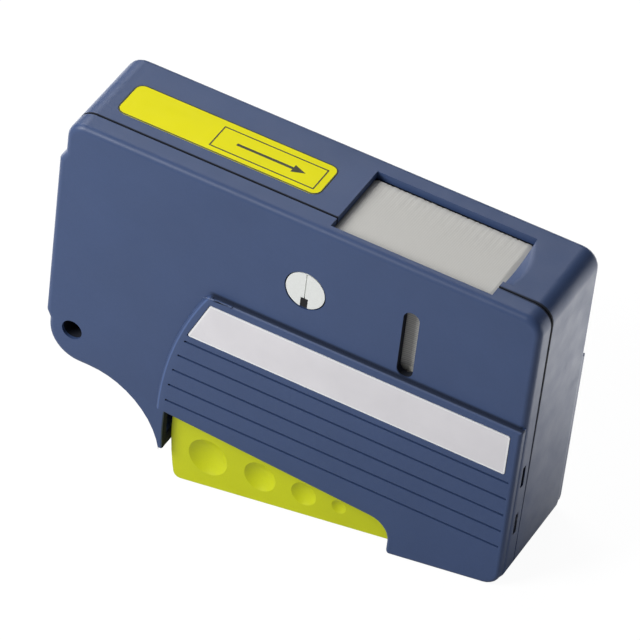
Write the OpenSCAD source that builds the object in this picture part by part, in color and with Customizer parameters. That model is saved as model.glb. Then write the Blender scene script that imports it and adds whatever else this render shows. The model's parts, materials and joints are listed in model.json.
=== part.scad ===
// Hand-held reel cleaner for optical connectors.
// A flat two-shell case holds a roll of cleaning cloth. Squeezing the lever under the case turns the
// take-up reel through a gear sector, which draws fresh cloth over a pad in the window on top.
//
// The case is drawn lying square: x runs from its left wall to the right, y from its front face to the
// back, z upwards from its top face, so that all of it has a negative z. stand() then tilts it on to
// the flat base of its foot, whose centre is the origin.

/* [Case] */
// Length of the case
case_length = 130; // [124:1:136]
// Depth of the case, without the raised grip panels
case_depth = 32; // [31.6:0.2:34]
// Wall thickness of both shells
case_wall = 2.2; // [2:0.1:2.4]
// Radius of the corners, seen from the front
corner_r = 5; // [4:0.5:6]
// Rounding of the edge between the front or rear face and the walls
edge_r = 1.8; // [1.2:0.2:2]
// Depth of the front shell, up to the middle of the seam
front_shell_depth = 6; // [5.6:0.2:6.6]
// Width of the seam between the shells
seam_gap = 0.4; // [0.3:0.1:0.5]
// Length of the tongue that enters the front shell
tongue_length = 1.4; // [1:0.1:1.6]
// Clearance between shells and what fits in them
shell_clearance = 0.1; // [0.05:0.05:0.2]
// Tilt of the foot's base against the case's top face, in degrees
stand_angle = 9.8; // [9:0.1:10.4]

/* [Left end] */
// How far the left wall steps out
bump_out = 1.6; // [1:0.1:2]
// Depth below the top where the left wall starts to step out
bump_top = 9.9; // [8:0.1:12]
// Height of the slanted part of that step
bump_slant = 3; // [2:0.5:4]
// Depth below the top where the stepped wall ends
bump_bottom = 62.9; // [61:0.1:63.4]
// Radius of the rounded lobe around the strap hole
lobe_r = 9.2; // [8.8:0.1:9.6]
// Depth of the lobe's lowest point below the top
lobe_bottom = 75.7; // [75:0.1:76.4]
// Radius of the strap hole
strap_hole_r = 2.85; // [2.4:0.05:3.2]
// Distance of the strap hole from the left wall
strap_hole_x = 6.4; // [6:0.1:7]
// Depth of the strap hole below the top
strap_hole_drop = 65.6; // [65:0.1:66.4]
// Thickness of the tube around the strap hole
strap_tube_wall = 1.8; // [1.4:0.1:2.2]
// Radius of the hollow for the fingers
finger_r = 21.6; // [20:0.2:22.4]

/* [Lever and foot] */
// Distance of the lever's pivot from the right wall
pivot_inset = 11; // [10.6:0.1:11.4]
// Depth of the lever's pivot below the top
pivot_drop = 83; // [82.8:0.1:83.2]
// Distance of the lever's outer end from the left wall, at the pivot's height
lever_end_x = 35.2; // [34.8:0.1:36]
// Gap between the lever's end and the guard
guard_gap = 1.1; // [0.8:0.1:1.3]
// Angle of the lever's full press, in degrees
lever_press = 13; // [10:0.5:13]
// Wall thickness of the lever
lever_wall = 2; // [1.8:0.1:2.2]
// Side clearance between the lever and each shell's wall
lever_side_gap = 0.7; // [0.5:0.1:0.8]
// Height of the lever's outer end below the pivot
lever_drop = 18.9; // [18.5:0.1:19.2]
// Slope of the lever's bottom against the case's top face, in degrees
lever_slope = 10.2; // [9.8:0.1:10.4]
// Height of the lever's walls above the pivot
lever_rise = 6; // [5:0.2:6]
// Distance of the foot's left edge from the right wall
foot_length = 31.5; // [31:0.1:32]
// Depth of the foot's left corner below the top
foot_drop = 92.2; // [91.8:0.1:92.6]
// Depth of the case's lower edge below the top, beside the guard
skirt_drop_left = 78.3; // [77.8:0.1:78.8]
// Depth of the case's lower edge below the top, beside the foot
skirt_drop_right = 82.6; // [82:0.1:83]
// Radius of the quarter round between the lower edge and the foot
skirt_r = 5.4; // [5:0.1:5.8]
// Depth of the guard's tip below the top
guard_drop = 91.9; // [91:0.1:92.4]
// Radius of the pivot pin
pin_r = 1.5; // [1.4:0.05:1.6]
// Radial clearance of every running fit
running_clearance = 0.06; // [0.04:0.01:0.09]

/* [Grip panel] */
// How far the grip panels stand out of the faces
panel_rise = 1.5; // [1.2:0.1:1.8]
// Depth of the panel's upper edge below the top
panel_drop = 34.4; // [34:0.1:35]
// Rounding of the panel's edges
panel_edge_r = 1.1; // [0.8:0.1:1.2]
// Pitch of the grip grooves
groove_pitch = 5.4; // [5:0.1:5.6]
// Depth of the first groove below the top
groove_drop = 51.7; // [51.4:0.1:52.4]
// Width of the grip grooves
groove_width = 0.6; // [0.5:0.05:0.8]
// Height of the name strip
strip_height = 12.7; // [12.3:0.1:12.9]

/* [Window and label] */
// Distance of the window's right edge from the right wall
window_inset = 14.95; // [14.6:0.05:15.2]
// Length of the window
window_length = 43.6; // [43:0.1:44]
// Distance of the window's front edge from the front face
window_y = 2.7; // [2.6:0.1:2.9]
// Distance of the window's rear edge from the back face
window_back = 5.3; // [5.1:0.1:5.7]
// Depth of the cloth in the window below the top
cloth_drop = 1.8; // [1.6:0.1:1.9]
// Distance between the arrow label and the window
label_gap = 7.6; // [6.5:0.1:9]
// Width of the arrow label
label_width = 12.3; // [11.5:0.1:13]
// Distance of the label from the left wall
label_x = 7.55; // [7:0.05:8]
// Distance of the label from the front face
label_y = 10.1; // [9.6:0.1:10.6]

/* [Reels] */
// Distance of the take-up axis from the right wall
take_up_inset = 61.9; // [61.7:0.1:62.2]
// Depth of the take-up axis below the top
take_up_drop = 20.9; // [20.8:0.1:21.2]
// Radius of the take-up spool's core
take_up_core_r = 5.6; // [5.4:0.1:5.8]
// Radius of the cloth wound on the take-up spool
take_up_roll_r = 8; // [7.6:0.1:8.2]
// Distance of the supply axis from the right wall
supply_inset = 33; // [32.6:0.1:33.2]
// Depth of the supply axis below the top
supply_drop = 42; // [41.8:0.1:42.4]
// Radius of the full supply roll
supply_roll_r = 25.6; // [22:0.1:25.8]
// Radius of the supply spool's core
supply_core_r = 9; // [8:0.1:10]
// Radius of the posts that carry the supply spool
supply_post_r = 4; // [3.8:0.1:4.2]
// How much narrower the cleaning cloth is than the window
cloth_margin = 1.2; // [1.2:0.1:1.8]
// Thickness of the cleaning cloth
cloth_thickness = 0.3; // [0.25:0.05:0.35]
// Radius of the two guide rollers
roller_r = 2.6; // [2.5:0.05:2.7]
// Radius of the take-up shaft
shaft_r = 2; // [1.9:0.05:2.1]
// Radius of the indicator disc on the front
disc_r = 5.33; // [5.2:0.01:5.4]
// Gap around the indicator disc
disc_gap = 0.35; // [0.25:0.05:0.4]
// Teeth of the drive gear
gear_teeth = 18; // [18:1:20]
// Teeth that the lever's sector would have as a full circle
sector_teeth = 142; // [138:1:144]
// Thickness of the drive gear and of the sector
gear_width = 2; // [1.8:0.1:2]

/* [Hidden] */
$fn = 64;

// What every cut runs past the surface that it opens
overrun = 1;

// Colours, as the object shows them
case_colour = [0.24, 0.31, 0.47];
lever_colour = [0.76, 0.79, 0.12];
white_colour = [0.9, 0.9, 0.88];
cloth_colour = [0.77, 0.76, 0.74];
steel_colour = [0.7, 0.71, 0.73];

// Main places in the case's own axes, as [x, z]
pivot = [case_length - pivot_inset, -pivot_drop];
take_up = [case_length - take_up_inset, -take_up_drop];
supply = [case_length - supply_inset, -supply_drop];
strap_hole = [strap_hole_x, -strap_hole_drop];
lever_r = pivot.x - lever_end_x;
window_end = case_length - window_inset;
window_x = window_end - window_length;
window_width = case_depth - window_y - window_back;
cloth_width = window_width - cloth_margin;
label_length = window_x - label_gap - label_x;
foot_x = case_length - foot_length;
foot_right_drop = foot_drop - foot_length * tan(stand_angle);
inner_back = case_depth - case_wall;
seam_front = front_shell_depth - seam_gap / 2;
seam_back = front_shell_depth + seam_gap / 2;

// Guard: its inner face follows the lever's end
guard_inner_r = lever_r + guard_gap;
guard_corner_r = 0.6;
guard_tip_width = 1.4;
guard_steps = 5;
guard_round_share = 0.2;
function guard_x(z) = pivot.x - sqrt(guard_inner_r * guard_inner_r - pow(z - pivot.y, 2));
guard_points = [
    for (i = [0:guard_steps])
        let (z = -guard_drop + (guard_drop - skirt_drop_left) * i / guard_steps)
        [guard_x(z), z, i == 0 ? guard_corner_r : 0, guard_round_share]
];

// Outline of the case: corners as [x, z, radius], counter-clockwise seen from the front. The thin
// guard takes only a share of an inset, which follows the radius.
left_lobe_x = -0.5;
foot_corner_r = 1;
bump_corner_r = 0.8;
guard_tip_left = guard_x(-guard_drop) - guard_tip_width;
finger_turn = 74.6;
finger_corner_x = guard_tip_left - (guard_drop - lobe_bottom) / tan(finger_turn);
guard_first = 9;
case_corners = concat(
    [
        [case_length, 0, corner_r],
        [0, 0, corner_r],
        [0, -bump_top, 0],
        [-bump_out, -bump_top - bump_slant, bump_corner_r],
        [-bump_out, -bump_bottom, bump_corner_r],
        [left_lobe_x, -bump_bottom - bump_out + left_lobe_x, 0],
        [left_lobe_x, -lobe_bottom, lobe_r],
        [finger_corner_x, -lobe_bottom, finger_r],
        [guard_tip_left, -guard_drop, guard_corner_r, guard_round_share]
    ],
    guard_points,
    [
        [foot_x, -skirt_drop_right, skirt_r],
        [foot_x, -foot_drop, foot_corner_r],
        [case_length, -foot_right_drop, corner_r]
    ]
);

// Front grip panel: the same lower and right edge, with a round left end
panel_corner_r = 2;
panel_root = (edge_r + case_wall) / 2;
panel_set_back = 0.3;
panel_arc_beyond = 7.1;
panel_arc_r = lever_r + panel_arc_beyond;
panel_arc_shift = [4, 5.9];
panel_arc = pivot + panel_arc_shift;
panel_arc_steps = 8;
function panel_x(z) = panel_arc.x - sqrt(panel_arc_r * panel_arc_r - pow(z - panel_arc.y, 2));
panel_bottom = skirt_drop_left - panel_set_back;
panel_corners = concat(
    [
        [case_length - panel_set_back, -panel_drop, 0],
        [panel_x(-panel_drop), -panel_drop, panel_corner_r]
    ],
    [
        for (i = [1:panel_arc_steps])
            let (z = -panel_drop - (panel_bottom - panel_drop) * i / panel_arc_steps)
            [max(panel_x(z), guard_x(z) - guard_corner_r), z, 0]
    ],
    [
        [foot_x + panel_set_back, -skirt_drop_right + panel_set_back, skirt_r + panel_set_back],
        [foot_x + panel_set_back, -foot_drop + panel_set_back, foot_corner_r],
        [case_length - panel_set_back, -foot_right_drop + panel_set_back, corner_r]
    ]
);

// A rounded outline, moved inwards by d. Each corner gives one point or one arc.
least_arc_steps = 3;
most_arc_steps = 10;
arc_steps_share = 1.2;
function steps_of(r) =
    r == 0 ? 0 : max(least_arc_steps, min(most_arc_steps, round(r * arc_steps_share)));
function unit(v) = v / norm(v);
function left_of(v) = [-v.y, v.x];
function flat(v) = [v.x, v.y];
function inset_share(corner) = len(corner) > 3 ? corner[3] : 1;
function inset_corner(a, b, c, d) =
    let (n1 = left_of(unit(flat(b) - flat(a))), n2 = left_of(unit(flat(c) - flat(b))))
    flat(b) + d * inset_share(b) * (n1 + n2) / (1 + n1 * n2);
function turn(a, b, c) =
    let (u = unit(flat(b) - flat(a)), v = unit(flat(c) - flat(b)))
    atan2(u.x * v.y - u.y * v.x, u * v);
least_arc_r = 0.2;
function arc_at(a, b, c, r, steps) =
    let (
        t = turn(a, b, c),
        u = unit(b - a),
        start = b - u * r * tan(abs(t) / 2),
        centre = start + left_of(u) * r * sign(t),
        spoke = start - centre
    )
    [
        for (k = [0:steps])
            let (w = t * k / steps)
            centre + [spoke.x * cos(w) - spoke.y * sin(w), spoke.x * sin(w) + spoke.y * cos(w)]
    ];
function outline(corners, d) =
    let (
        n = len(corners),
        moved = [
            for (i = [0:n - 1])
                inset_corner(corners[(i + n - 1) % n], corners[i], corners[(i + 1) % n], d)
        ]
    )
    [
        for (i = [0:n - 1])
            let (
                a = moved[(i + n - 1) % n],
                b = moved[i],
                c = moved[(i + 1) % n],
                r = corners[i].z,
                grown = turn(a, b, c) > 0 ? max(r - d, least_arc_r) : r + d
            )
            each (r == 0 ? [b] : arc_at(a, b, c, grown, steps_of(r)))
    ];

// A solid whose outline changes its inset along y; levels are [y, inset], from front to back
module loft(corners, levels) {
    rings = [for (level = levels) [for (p = outline(corners, level[1])) [p.x, level[0], p.y]]];
    n = len(rings[0]);
    last = len(levels) - 1;
    sides = [
        for (k = [0:last - 1], i = [0:n - 1])
            let (a = k * n + i, b = k * n + (i + 1) % n)
            each [[a, b, b + n], [a, b + n, a + n]]
    ];
    front = [[for (i = [n - 1:-1:0]) i]];
    back = [[for (i = [0:n - 1]) last * n + i]];
    polyhedron(points = [for (ring = rings) each ring], faces = concat(front, sides, back));
}

// Levels of a rounded edge on the front or the back. The outermost facet runs on past the face by
// edge_trim, and trimmed() cuts it off there.
edge_steps = 4;
edge_trim = 0.1;
edge_slope = sin(90 / edge_steps) / (1 - cos(90 / edge_steps));
function edge_levels(y, r, side) = concat(
    [[y - side * edge_trim, r + edge_trim * edge_slope]],
    [
        for (k = [1:edge_steps])
            let (w = 90 * k / edge_steps)
            [y + side * r * (1 - cos(w)), r * (1 - sin(w))]
    ]
);
function front_edge(y, r) = edge_levels(y, r, 1);
function back_edge(y, r) = let (e = edge_levels(y, r, -1)) [for (k = [edge_steps:-1:0]) e[k]];
module trimmed(y0, y1) {
    intersection() {
        children();
        box(
            [-bump_out - overrun, y0, -guard_drop - overrun],
            [case_length + overrun, y1, overrun]
        );
    }
}

// Helpers that work along the case's depth
module slab(y0, y1) translate([0, y1, 0]) rotate([90, 0, 0]) linear_extrude(y1 - y0) children();
module rod(at, r, y0, y1) translate([at.x, y1, at.y]) rotate([90, 0, 0]) cylinder(r = r, h = y1 - y0);
module tube(at, r, bore, y0, y1) {
    difference() {
        rod(at, r, y0, y1);
        rod(at, bore, y0 - overrun, y1 + overrun);
    }
}
module box(low, high) translate(low) cube(high - low);

// From the case's own axes to the standing pose, with the origin under the middle of the foot
foot_middle = (foot_x + case_length) / 2;
foot_middle_drop = foot_drop - (foot_middle - foot_x) * tan(stand_angle);
module stand() {
    rotate([0, stand_angle, 0])
        translate([-foot_middle, -case_depth / 2, foot_middle_drop])
            children();
}

// Space inside the shells. The guard is left to the bay, which follows the lever's end.
bay_middle_share = 0.85;
bay_middle = pivot.x - lever_r * bay_middle_share;
inner_corners = [
    for (i = [0:len(case_corners) - 1])
        if (i < guard_first - 1 || i >= guard_first + len(guard_points)) case_corners[i]
        else if (i == guard_first - 1) [guard_tip_left, -guard_drop, guard_corner_r]
        else if (i == guard_first) [bay_middle, -guard_drop, 0]
        else if (i == guard_first + 1) [bay_middle, -skirt_drop_left, 0]
];
module cavity(y0, y1) slab(y0, y1) polygon(outline(inner_corners, case_wall));

// Half of the wall at the seam, for the tongue and the rebate that takes it
module seam_ring(y0, y1, d) {
    slab(y0, y1) difference() {
        polygon(outline(inner_corners, d));
        translate([guard_tip_left - lobe_r, -pivot_drop - lever_r])
            square([bay_right - guard_tip_left, lever_r + pivot_drop - skirt_drop_left]);
    }
}

// Bay that the lever swings in, open below between the guard and the foot's floor
bay_margin = 0.2;
bay_right = foot_x + skirt_r;
bay_rise = 15;
bay_top = pivot_drop - bay_rise;
module bay(y0, y1) {
    slab(y0, y1) intersection() {
        translate(pivot) circle(guard_inner_r - bay_margin, $fn = 180);
        translate([0, -pivot_drop - lever_r]) square([bay_right, lever_r + pivot_drop - bay_top]);
    }
}

module window_cut(y0, y1) {
    box([window_x, y0, -case_wall - overrun], [window_end, y1, overrun]);
}

// Snap hooks on the rear shell and their slots in the front shell's right wall
latch_tops = [48.8, 64.6];
latch_height = 6.8;
latch_width = 1.6;
latch_y = 2.4;
latch_arm = 1.4;
latch_nub = 1.2;

label_recess = 0.2;
label_thickness = 0.25;
label_corner_r = 2.4;
label_corners = [
    [label_length, label_width, label_corner_r],
    [0, label_width, label_corner_r],
    [0, 0, label_corner_r],
    [label_length, 0, label_corner_r]
];

groove_count = 5;
groove_end = 1.7;
groove_start = 1.3;
groove_depth = 0.8;
strip_top_margin = 2.4;
strip_right_margin = 3;
strip_gap = 0.15;
strip_thickness = 0.5;
strip_recess = 0.4;
strip_corner_r = 0.6;
strip_left_gap = 1.35;
strip_left = panel_x(-panel_drop) + strip_left_gap;
strip_lean = 5.4;
strip_right = case_length - strip_right_margin;
strip_top = panel_drop + strip_top_margin;
strip_corners = [
    [strip_right, -strip_top, strip_corner_r],
    [strip_left, -strip_top, strip_corner_r],
    [strip_left - strip_lean, -strip_top - strip_height, strip_corner_r],
    [strip_right, -strip_top - strip_height, strip_corner_r]
];

slot_width = 4.4;
slot_length = 20.6;
slot_shift = 0.35;
slot_x = supply.x - slot_shift;
slot_top = 13.5;

pin_seat = 1.2;
pin_slack = 0.02;

module view_slot() {
    for (drop = [slot_top + slot_width / 2, slot_top + slot_length - slot_width / 2])
        rod([slot_x, -drop], slot_width / 2, -overrun, case_wall + overrun);
    box(
        [slot_x - slot_width / 2, -overrun, -slot_top - slot_length + slot_width / 2],
        [slot_x + slot_width / 2, case_wall + overrun, -slot_top - slot_width / 2]
    );
}

module grip_grooves(y) {
    for (i = [0:groove_count - 1]) {
        z = -groove_drop - i * groove_pitch;
        box(
            [panel_x(z) + groove_start, y - groove_depth, z - groove_width / 2],
            [case_length - groove_end, y + groove_depth, z + groove_width / 2]
        );
    }
}

// Front shell
module front_shell() {
    color(case_colour) stand() {
        difference() {
            union() {
                trimmed(0, seam_front)
                    loft(case_corners, concat(front_edge(0, edge_r), [[seam_front + overrun, 0]]));
                trimmed(-panel_rise, panel_root + overrun) loft(
                    panel_corners,
                    concat(front_edge(-panel_rise, panel_edge_r), [[panel_root, 0]])
                );
            }
            cavity(case_wall, seam_front + overrun);
            bay(case_wall, seam_front + overrun);
            seam_ring(seam_front - tongue_length, seam_front + overrun, case_wall / 2);
            window_cut(window_y, seam_front + overrun);
            rod(take_up, disc_r + disc_gap, -overrun, case_wall + overrun);
            view_slot();
            rod(strap_hole, strap_hole_r, -overrun, case_wall + overrun);
            rod(pivot, pin_r + pin_slack, case_wall - pin_seat, case_wall + overrun);
            for (at = [guide_left, guide_right])
                rod(at, guide_pin_r + pin_slack, case_wall - pin_seat, case_wall + overrun);
            grip_grooves(-panel_rise);
            slab(-panel_rise - overrun, -panel_rise + strip_recess)
                polygon(outline(strip_corners, 0));
            for (top = latch_tops)
                box(
                    [case_length - case_wall - overrun, latch_y, -top - latch_height],
                    [case_length + overrun, latch_y + latch_width, -top]
                );
        }
        tube(
            strap_hole, strap_hole_r + strap_tube_wall, strap_hole_r,
            case_wall - pin_seat, seam_front
        );
        rod(supply, supply_post_r, case_wall - pin_seat, post_split - seam_gap / 2);
    }
}

// Rear shell
scoop_length = 4.15;
scoop_end = window_end + scoop_length;
scoop_sag = 1.8;
scoop_reach = 19;
scoop_plate = 1.2;
scoop_near = 15.25;
scoop_middle = [window_end - scoop_near, window_y + window_width / 2];
scoop_rise = scoop_reach * scoop_reach - scoop_near * scoop_near - scoop_sag * scoop_sag;
scoop_lift = scoop_rise / (2 * scoop_sag);

module finger_scoop() {
    intersection() {
        translate([scoop_middle.x, scoop_middle.y, scoop_lift])
            sphere(sqrt(scoop_reach * scoop_reach + scoop_lift * scoop_lift), $fn = 96);
        box(
            [window_end - overrun, seam_back + case_wall, -case_wall],
            [scoop_end, window_y + window_width, overrun]
        );
    }
}

module latch_hook(top) {
    arm_face = case_length - case_wall - shell_clearance;
    low = -top - latch_height + seam_gap;
    high = -top - seam_gap;
    box(
        [arm_face - latch_arm, latch_y + shell_clearance, low],
        [arm_face, front_shell_depth + case_wall, high]
    );
    box(
        [arm_face - shell_clearance, latch_y + shell_clearance, low],
        [arm_face + latch_nub, latch_y + latch_width - shell_clearance, high]
    );
    box(
        [arm_face - latch_arm, seam_back + tongue_length, low],
        [case_length - case_wall / 2, seam_back + case_wall + tongue_length, high]
    );
}

module label_outline(grow) translate([label_x, label_y]) polygon(outline(label_corners, -grow));

module spring_shelf() {
    slab(spring_y - spring_r - spring_seat_thickness, inner_back + overrun)
        translate(spring_top) rotate(stand_angle) translate([-spring_r - spring_seat_thickness, 0])
            square([2 * (spring_r + spring_seat_thickness), spring_seat_thickness]);
}

module rear_shell() {
    rear_levels = concat([[seam_back - overrun, 0]], back_edge(case_depth, edge_r));
    rear_panel = case_depth + panel_rise;
    panel_levels = concat([[case_depth - panel_root, 0]], back_edge(rear_panel, panel_edge_r));
    color(case_colour) stand() {
        difference() {
            union() {
                difference() {
                    union() {
                        trimmed(seam_back, case_depth) loft(case_corners, rear_levels);
                        trimmed(inner_back - overrun, rear_panel) loft(panel_corners, panel_levels);
                        seam_ring(
                            seam_front - tongue_length + shell_clearance,
                            seam_back + overrun,
                            case_wall / 2 + shell_clearance
                        );
                    }
                    cavity(0, inner_back);
                    bay(0, inner_back);
                }
                slab(seam_back, inner_back + overrun) polygon([
                    [window_end, -case_wall / 2],
                    [window_end, -case_wall],
                    [scoop_end, -case_wall - scoop_plate],
                    [scoop_end + case_wall, -case_wall],
                    [scoop_end + case_wall, -case_wall / 2]
                ]);
            }
            window_cut(0, window_y + window_width);
            grip_grooves(rear_panel);
            finger_scoop();
            translate([0, 0, -label_recess]) linear_extrude(label_recess + overrun)
                label_outline(shell_clearance);
            rod(strap_hole, strap_hole_r, 0, case_depth + overrun);
            rod(pivot, pin_r + pin_slack, inner_back - overrun, inner_back + pin_seat);
            rod(take_up, shaft_r + running_clearance, inner_back - overrun, inner_back + pin_seat);
            for (at = [guide_left, guide_right])
                rod(at, guide_pin_r + pin_slack, inner_back - overrun, inner_back + pin_seat);
        }
        tube(
            strap_hole, strap_hole_r + strap_tube_wall, strap_hole_r,
            seam_front + seam_gap, case_depth - edge_r
        );
        rod(supply, supply_post_r, post_split + seam_gap / 2, inner_back + overrun);
        rod(pawl_post, pawl_post_r, pawl_back, inner_back + overrun);
        rod(pawl_post, pawl_eye_r, ratchet_front, pawl_back + overrun);
        spring_shelf();
        for (top = latch_tops) latch_hook(top);
    }
}

// Labels and the disc that shows the take-up reel turning
module arrow_label() {
    color([0.92, 0.89, 0.05]) stand()
        translate([0, 0, -label_recess]) linear_extrude(label_thickness) label_outline(0);
}

module name_strip() {
    color(white_colour) stand()
        slab(strip_recess - panel_rise - strip_thickness, strip_recess - panel_rise)
            polygon(outline(strip_corners, strip_gap));
}

disc_front = 0.1;
disc_back = 2.1;
disc_slot_width = 2;
disc_slot_depth = 1;
disc_slot_start = 2.4;
disc_line_width = 0.3;
disc_line_depth = 0.3;

module indicator_disc() {
    color(white_colour) stand() difference() {
        rod(take_up, disc_r, disc_front, disc_back);
        slab(0, disc_front + disc_slot_depth)
            translate([take_up.x - disc_slot_width / 2, take_up.y - disc_r - overrun])
                square([disc_slot_width, disc_r + overrun - disc_slot_start]);
        slab(0, disc_front + disc_line_depth)
            translate([take_up.x - disc_line_width / 2, take_up.y - disc_slot_start - overrun])
                square([disc_line_width, disc_r + disc_slot_start + 2 * overrun]);
    }
}

// Lever: an open channel with a round end, swinging on the pivot
lever_front = case_wall + lever_side_gap;
lever_back = inner_back - lever_side_gap;
lever_hub_r = 3;
lever_corner_r = 1.8;
lever_arc_steps = 6;
lever_neck = 8;
lever_heel = [4, 1];
function lever_x(z, r) = pivot.x - sqrt(r * r - z * z);
function lever_corners(rise) =
    let (
        low_x = lever_x(-lever_drop, lever_r),
        step_x = foot_x + lever_heel.y,
        step_z = (step_x - low_x) * tan(lever_slope) - lever_drop
    )
    concat(
        [
            [pivot.x, pivot.y + lever_hub_r, 0],
            [pivot.x - lever_neck, pivot.y + rise, 0]
        ],
        [
            for (i = [0:lever_arc_steps])
                let (z = rise - (rise + lever_drop) * i / lever_arc_steps)
                [lever_x(z, lever_r), pivot.y + z, i == lever_arc_steps ? lever_corner_r : 0]
        ],
        [
            [step_x, pivot.y + step_z, 0],
            [foot_x + lever_heel.x, pivot.y - lever_hub_r - lever_heel.y, 0],
            [pivot.x, pivot.y - lever_hub_r, 0]
        ]
    );

// Dimples for the fingers: [share of the lever's radius, radius, share of its drop]
dimple_places = [[0.869, 4.7, 0.402], [0.693, 3.8, 0.339], [0.545, 3, 0.296], [0.427, 1.75, 0.249]];
dimple_depth_share = 0.3;
rib_shares = [0.3, 0.5, 0.86];
rib_height = 6;
rib_thickness = 1.6;

module dimple(place) {
    r = place.y;
    depth = r * dimple_depth_share;
    ball = (r * r + depth * depth) / (2 * depth);
    translate([pivot.x - lever_r * place.x, lever_front + depth - ball, pivot.y - lever_drop * place.z])
        sphere(ball, $fn = 48);
}

// Involute teeth shared by the gear and the sector
centre_distance = norm(take_up - pivot);
gear_module = 2 * centre_distance / (gear_teeth + sector_teeth);
pressure_angle = 20;
tooth_slack = 0.05;
flank_steps = 3;
dedendum_share = 1.25;
function pitch_r(teeth) = gear_module * teeth / 2;
function involute(angle) = tan(angle) * 180 / PI - angle;
function half_tooth(r, teeth) =
    90 / teeth - tooth_slack / pitch_r(teeth) * 180 / PI + involute(pressure_angle)
    - involute(acos(min(1, pitch_r(teeth) * cos(pressure_angle) / r)));
function polar(r, angle) = [r * cos(angle), r * sin(angle)];
function tooth(teeth, angle) =
    let (
        root = pitch_r(teeth) - dedendum_share * gear_module,
        tip = pitch_r(teeth) + gear_module,
        base = max(root, pitch_r(teeth) * cos(pressure_angle)),
        rs = concat([root], [for (k = [0:flank_steps]) base + (tip - base) * k / flank_steps])
    )
    concat(
        [for (r = rs) polar(r, angle - half_tooth(max(r, base), teeth))],
        [for (k = [len(rs) - 1:-1:0]) polar(rs[k], angle + half_tooth(max(rs[k], base), teeth))]
    );

sector_angle = atan2(take_up.y - pivot.y, take_up.x - pivot.x);
sector_pitch = 360 / sector_teeth;
sector_spare_teeth = 2;
sector_rim = 4;
spoke_width = 6;
sector_below = ceil(lever_press / sector_pitch) + sector_spare_teeth;
sector_root = pitch_r(sector_teeth) - dedendum_share * gear_module;
sector_arc_steps = 12;
gear_back = lever_back;
gear_front = gear_back - gear_width;

module gear_sector() {
    from = sector_angle - sector_spare_teeth * sector_pitch;
    to = sector_angle + sector_below * sector_pitch;
    arc = [for (k = [0:sector_arc_steps]) from + (to - from) * k / sector_arc_steps];
    back = [for (k = [sector_arc_steps:-1:0]) from + (to - from) * k / sector_arc_steps];
    translate(pivot) {
        polygon(concat(
            [for (a = arc) polar(sector_root + tooth_slack, a)],
            [for (a = back) polar(sector_root - sector_rim, a)]
        ));
        for (k = [1 - sector_spare_teeth:sector_below - 1])
            polygon(tooth(sector_teeth, sector_angle + k * sector_pitch));
        rotate(to) translate([0, -spoke_width])
            square([sector_root - sector_rim / 2, spoke_width]);
    }
}

module lever() {
    color(lever_colour) stand() difference() {
        union() {
            difference() {
                slab(lever_front, lever_back) polygon(outline(lever_corners(lever_rise), 0));
                slab(lever_front + lever_wall, lever_back - lever_wall)
                    polygon(outline(lever_corners(lever_rise + lever_wall + overrun), lever_wall));
            }
            rod(pivot, lever_hub_r, lever_front, lever_back);
            slab(gear_front, gear_back) gear_sector();
            for (share = rib_shares) lever_rib(share);
            translate([0, spring_y, 0]) spring_frame()
                translate([0, 0, -lever_wall])
                    cylinder(r = spring_boss_r, h = lever_wall + spring_boss_h);
        }
        for (place = dimple_places) dimple(place);
        rod(pivot, pin_r + running_clearance, lever_front - overrun, lever_back + overrun);
    }
}

module lever_rib(share) {
    x = pivot.x - lever_r * share;
    low_x = lever_x(-lever_drop, lever_r);
    floor_z = pivot.y - lever_drop + (x - low_x) * tan(lever_slope) + lever_wall / 2;
    box(
        [x, lever_front + lever_wall / 2, floor_z],
        [x + rib_thickness, lever_back - lever_wall / 2, floor_z + rib_height]
    );
}

module lever_pivot_pin() {
    color(steel_colour) stand() rod(pivot, pin_r, case_wall - pin_seat, inner_back + pin_seat);
}

// Return spring: one unbroken coil between the lever's floor and the shelf
spring_r = 4;
spring_wire_r = 0.5;
spring_turns = 8;
spring_sides = 6;
spring_rings = 12;
spring_seat_thickness = 2;
spring_boss_r = 2.6;
spring_boss_h = 4;
spring_y = case_depth / 2;
spring_share = 0.73;
spring_foot_x = pivot.x - lever_r * spring_share;
spring_foot = [
    spring_foot_x,
    pivot.y - lever_drop + (spring_foot_x - lever_x(-lever_drop, lever_r)) * tan(lever_slope)
        + lever_wall / cos(lever_slope)
];
spring_height = 39;
spring_top = spring_foot + spring_height * [-sin(stand_angle), cos(stand_angle)];
module spring_frame() {
    translate([spring_foot.x, 0, spring_foot.y]) rotate([0, -stand_angle, 0]) children();
}

module lever_return_spring() {
    n = spring_turns * spring_rings;
    rise = spring_height - 4 * spring_wire_r;
    lean = rise / spring_turns / (2 * PI * spring_r);
    rings = [
        for (k = [0:n])
            let (a = 360 * k / spring_rings, h = 2 * spring_wire_r + rise * k / n)
            [
                for (s = [0:spring_sides - 1])
                    let (
                        w = 360 * s / spring_sides,
                        out = spring_r - spring_wire_r + spring_wire_r * cos(w),
                        up = spring_wire_r * sin(w)
                    )
                    [out * cos(a) + up * lean * sin(a), out * sin(a) - up * lean * cos(a), h + up]
            ]
    ];
    sides = [
        for (k = [0:n - 1], s = [0:spring_sides - 1])
            let (a = k * spring_sides + s, b = k * spring_sides + (s + 1) % spring_sides)
            each [[a, b, b + spring_sides], [a, b + spring_sides, a + spring_sides]]
    ];
    first = [for (s = [spring_sides - 1:-1:0]) s];
    last = [for (s = [0:spring_sides - 1]) n * spring_sides + s];
    color(steel_colour) stand() translate([0, spring_y, 0]) spring_frame()
        polyhedron(points = [for (ring = rings) each ring], faces = concat([first], sides, [last]));
}

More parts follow.
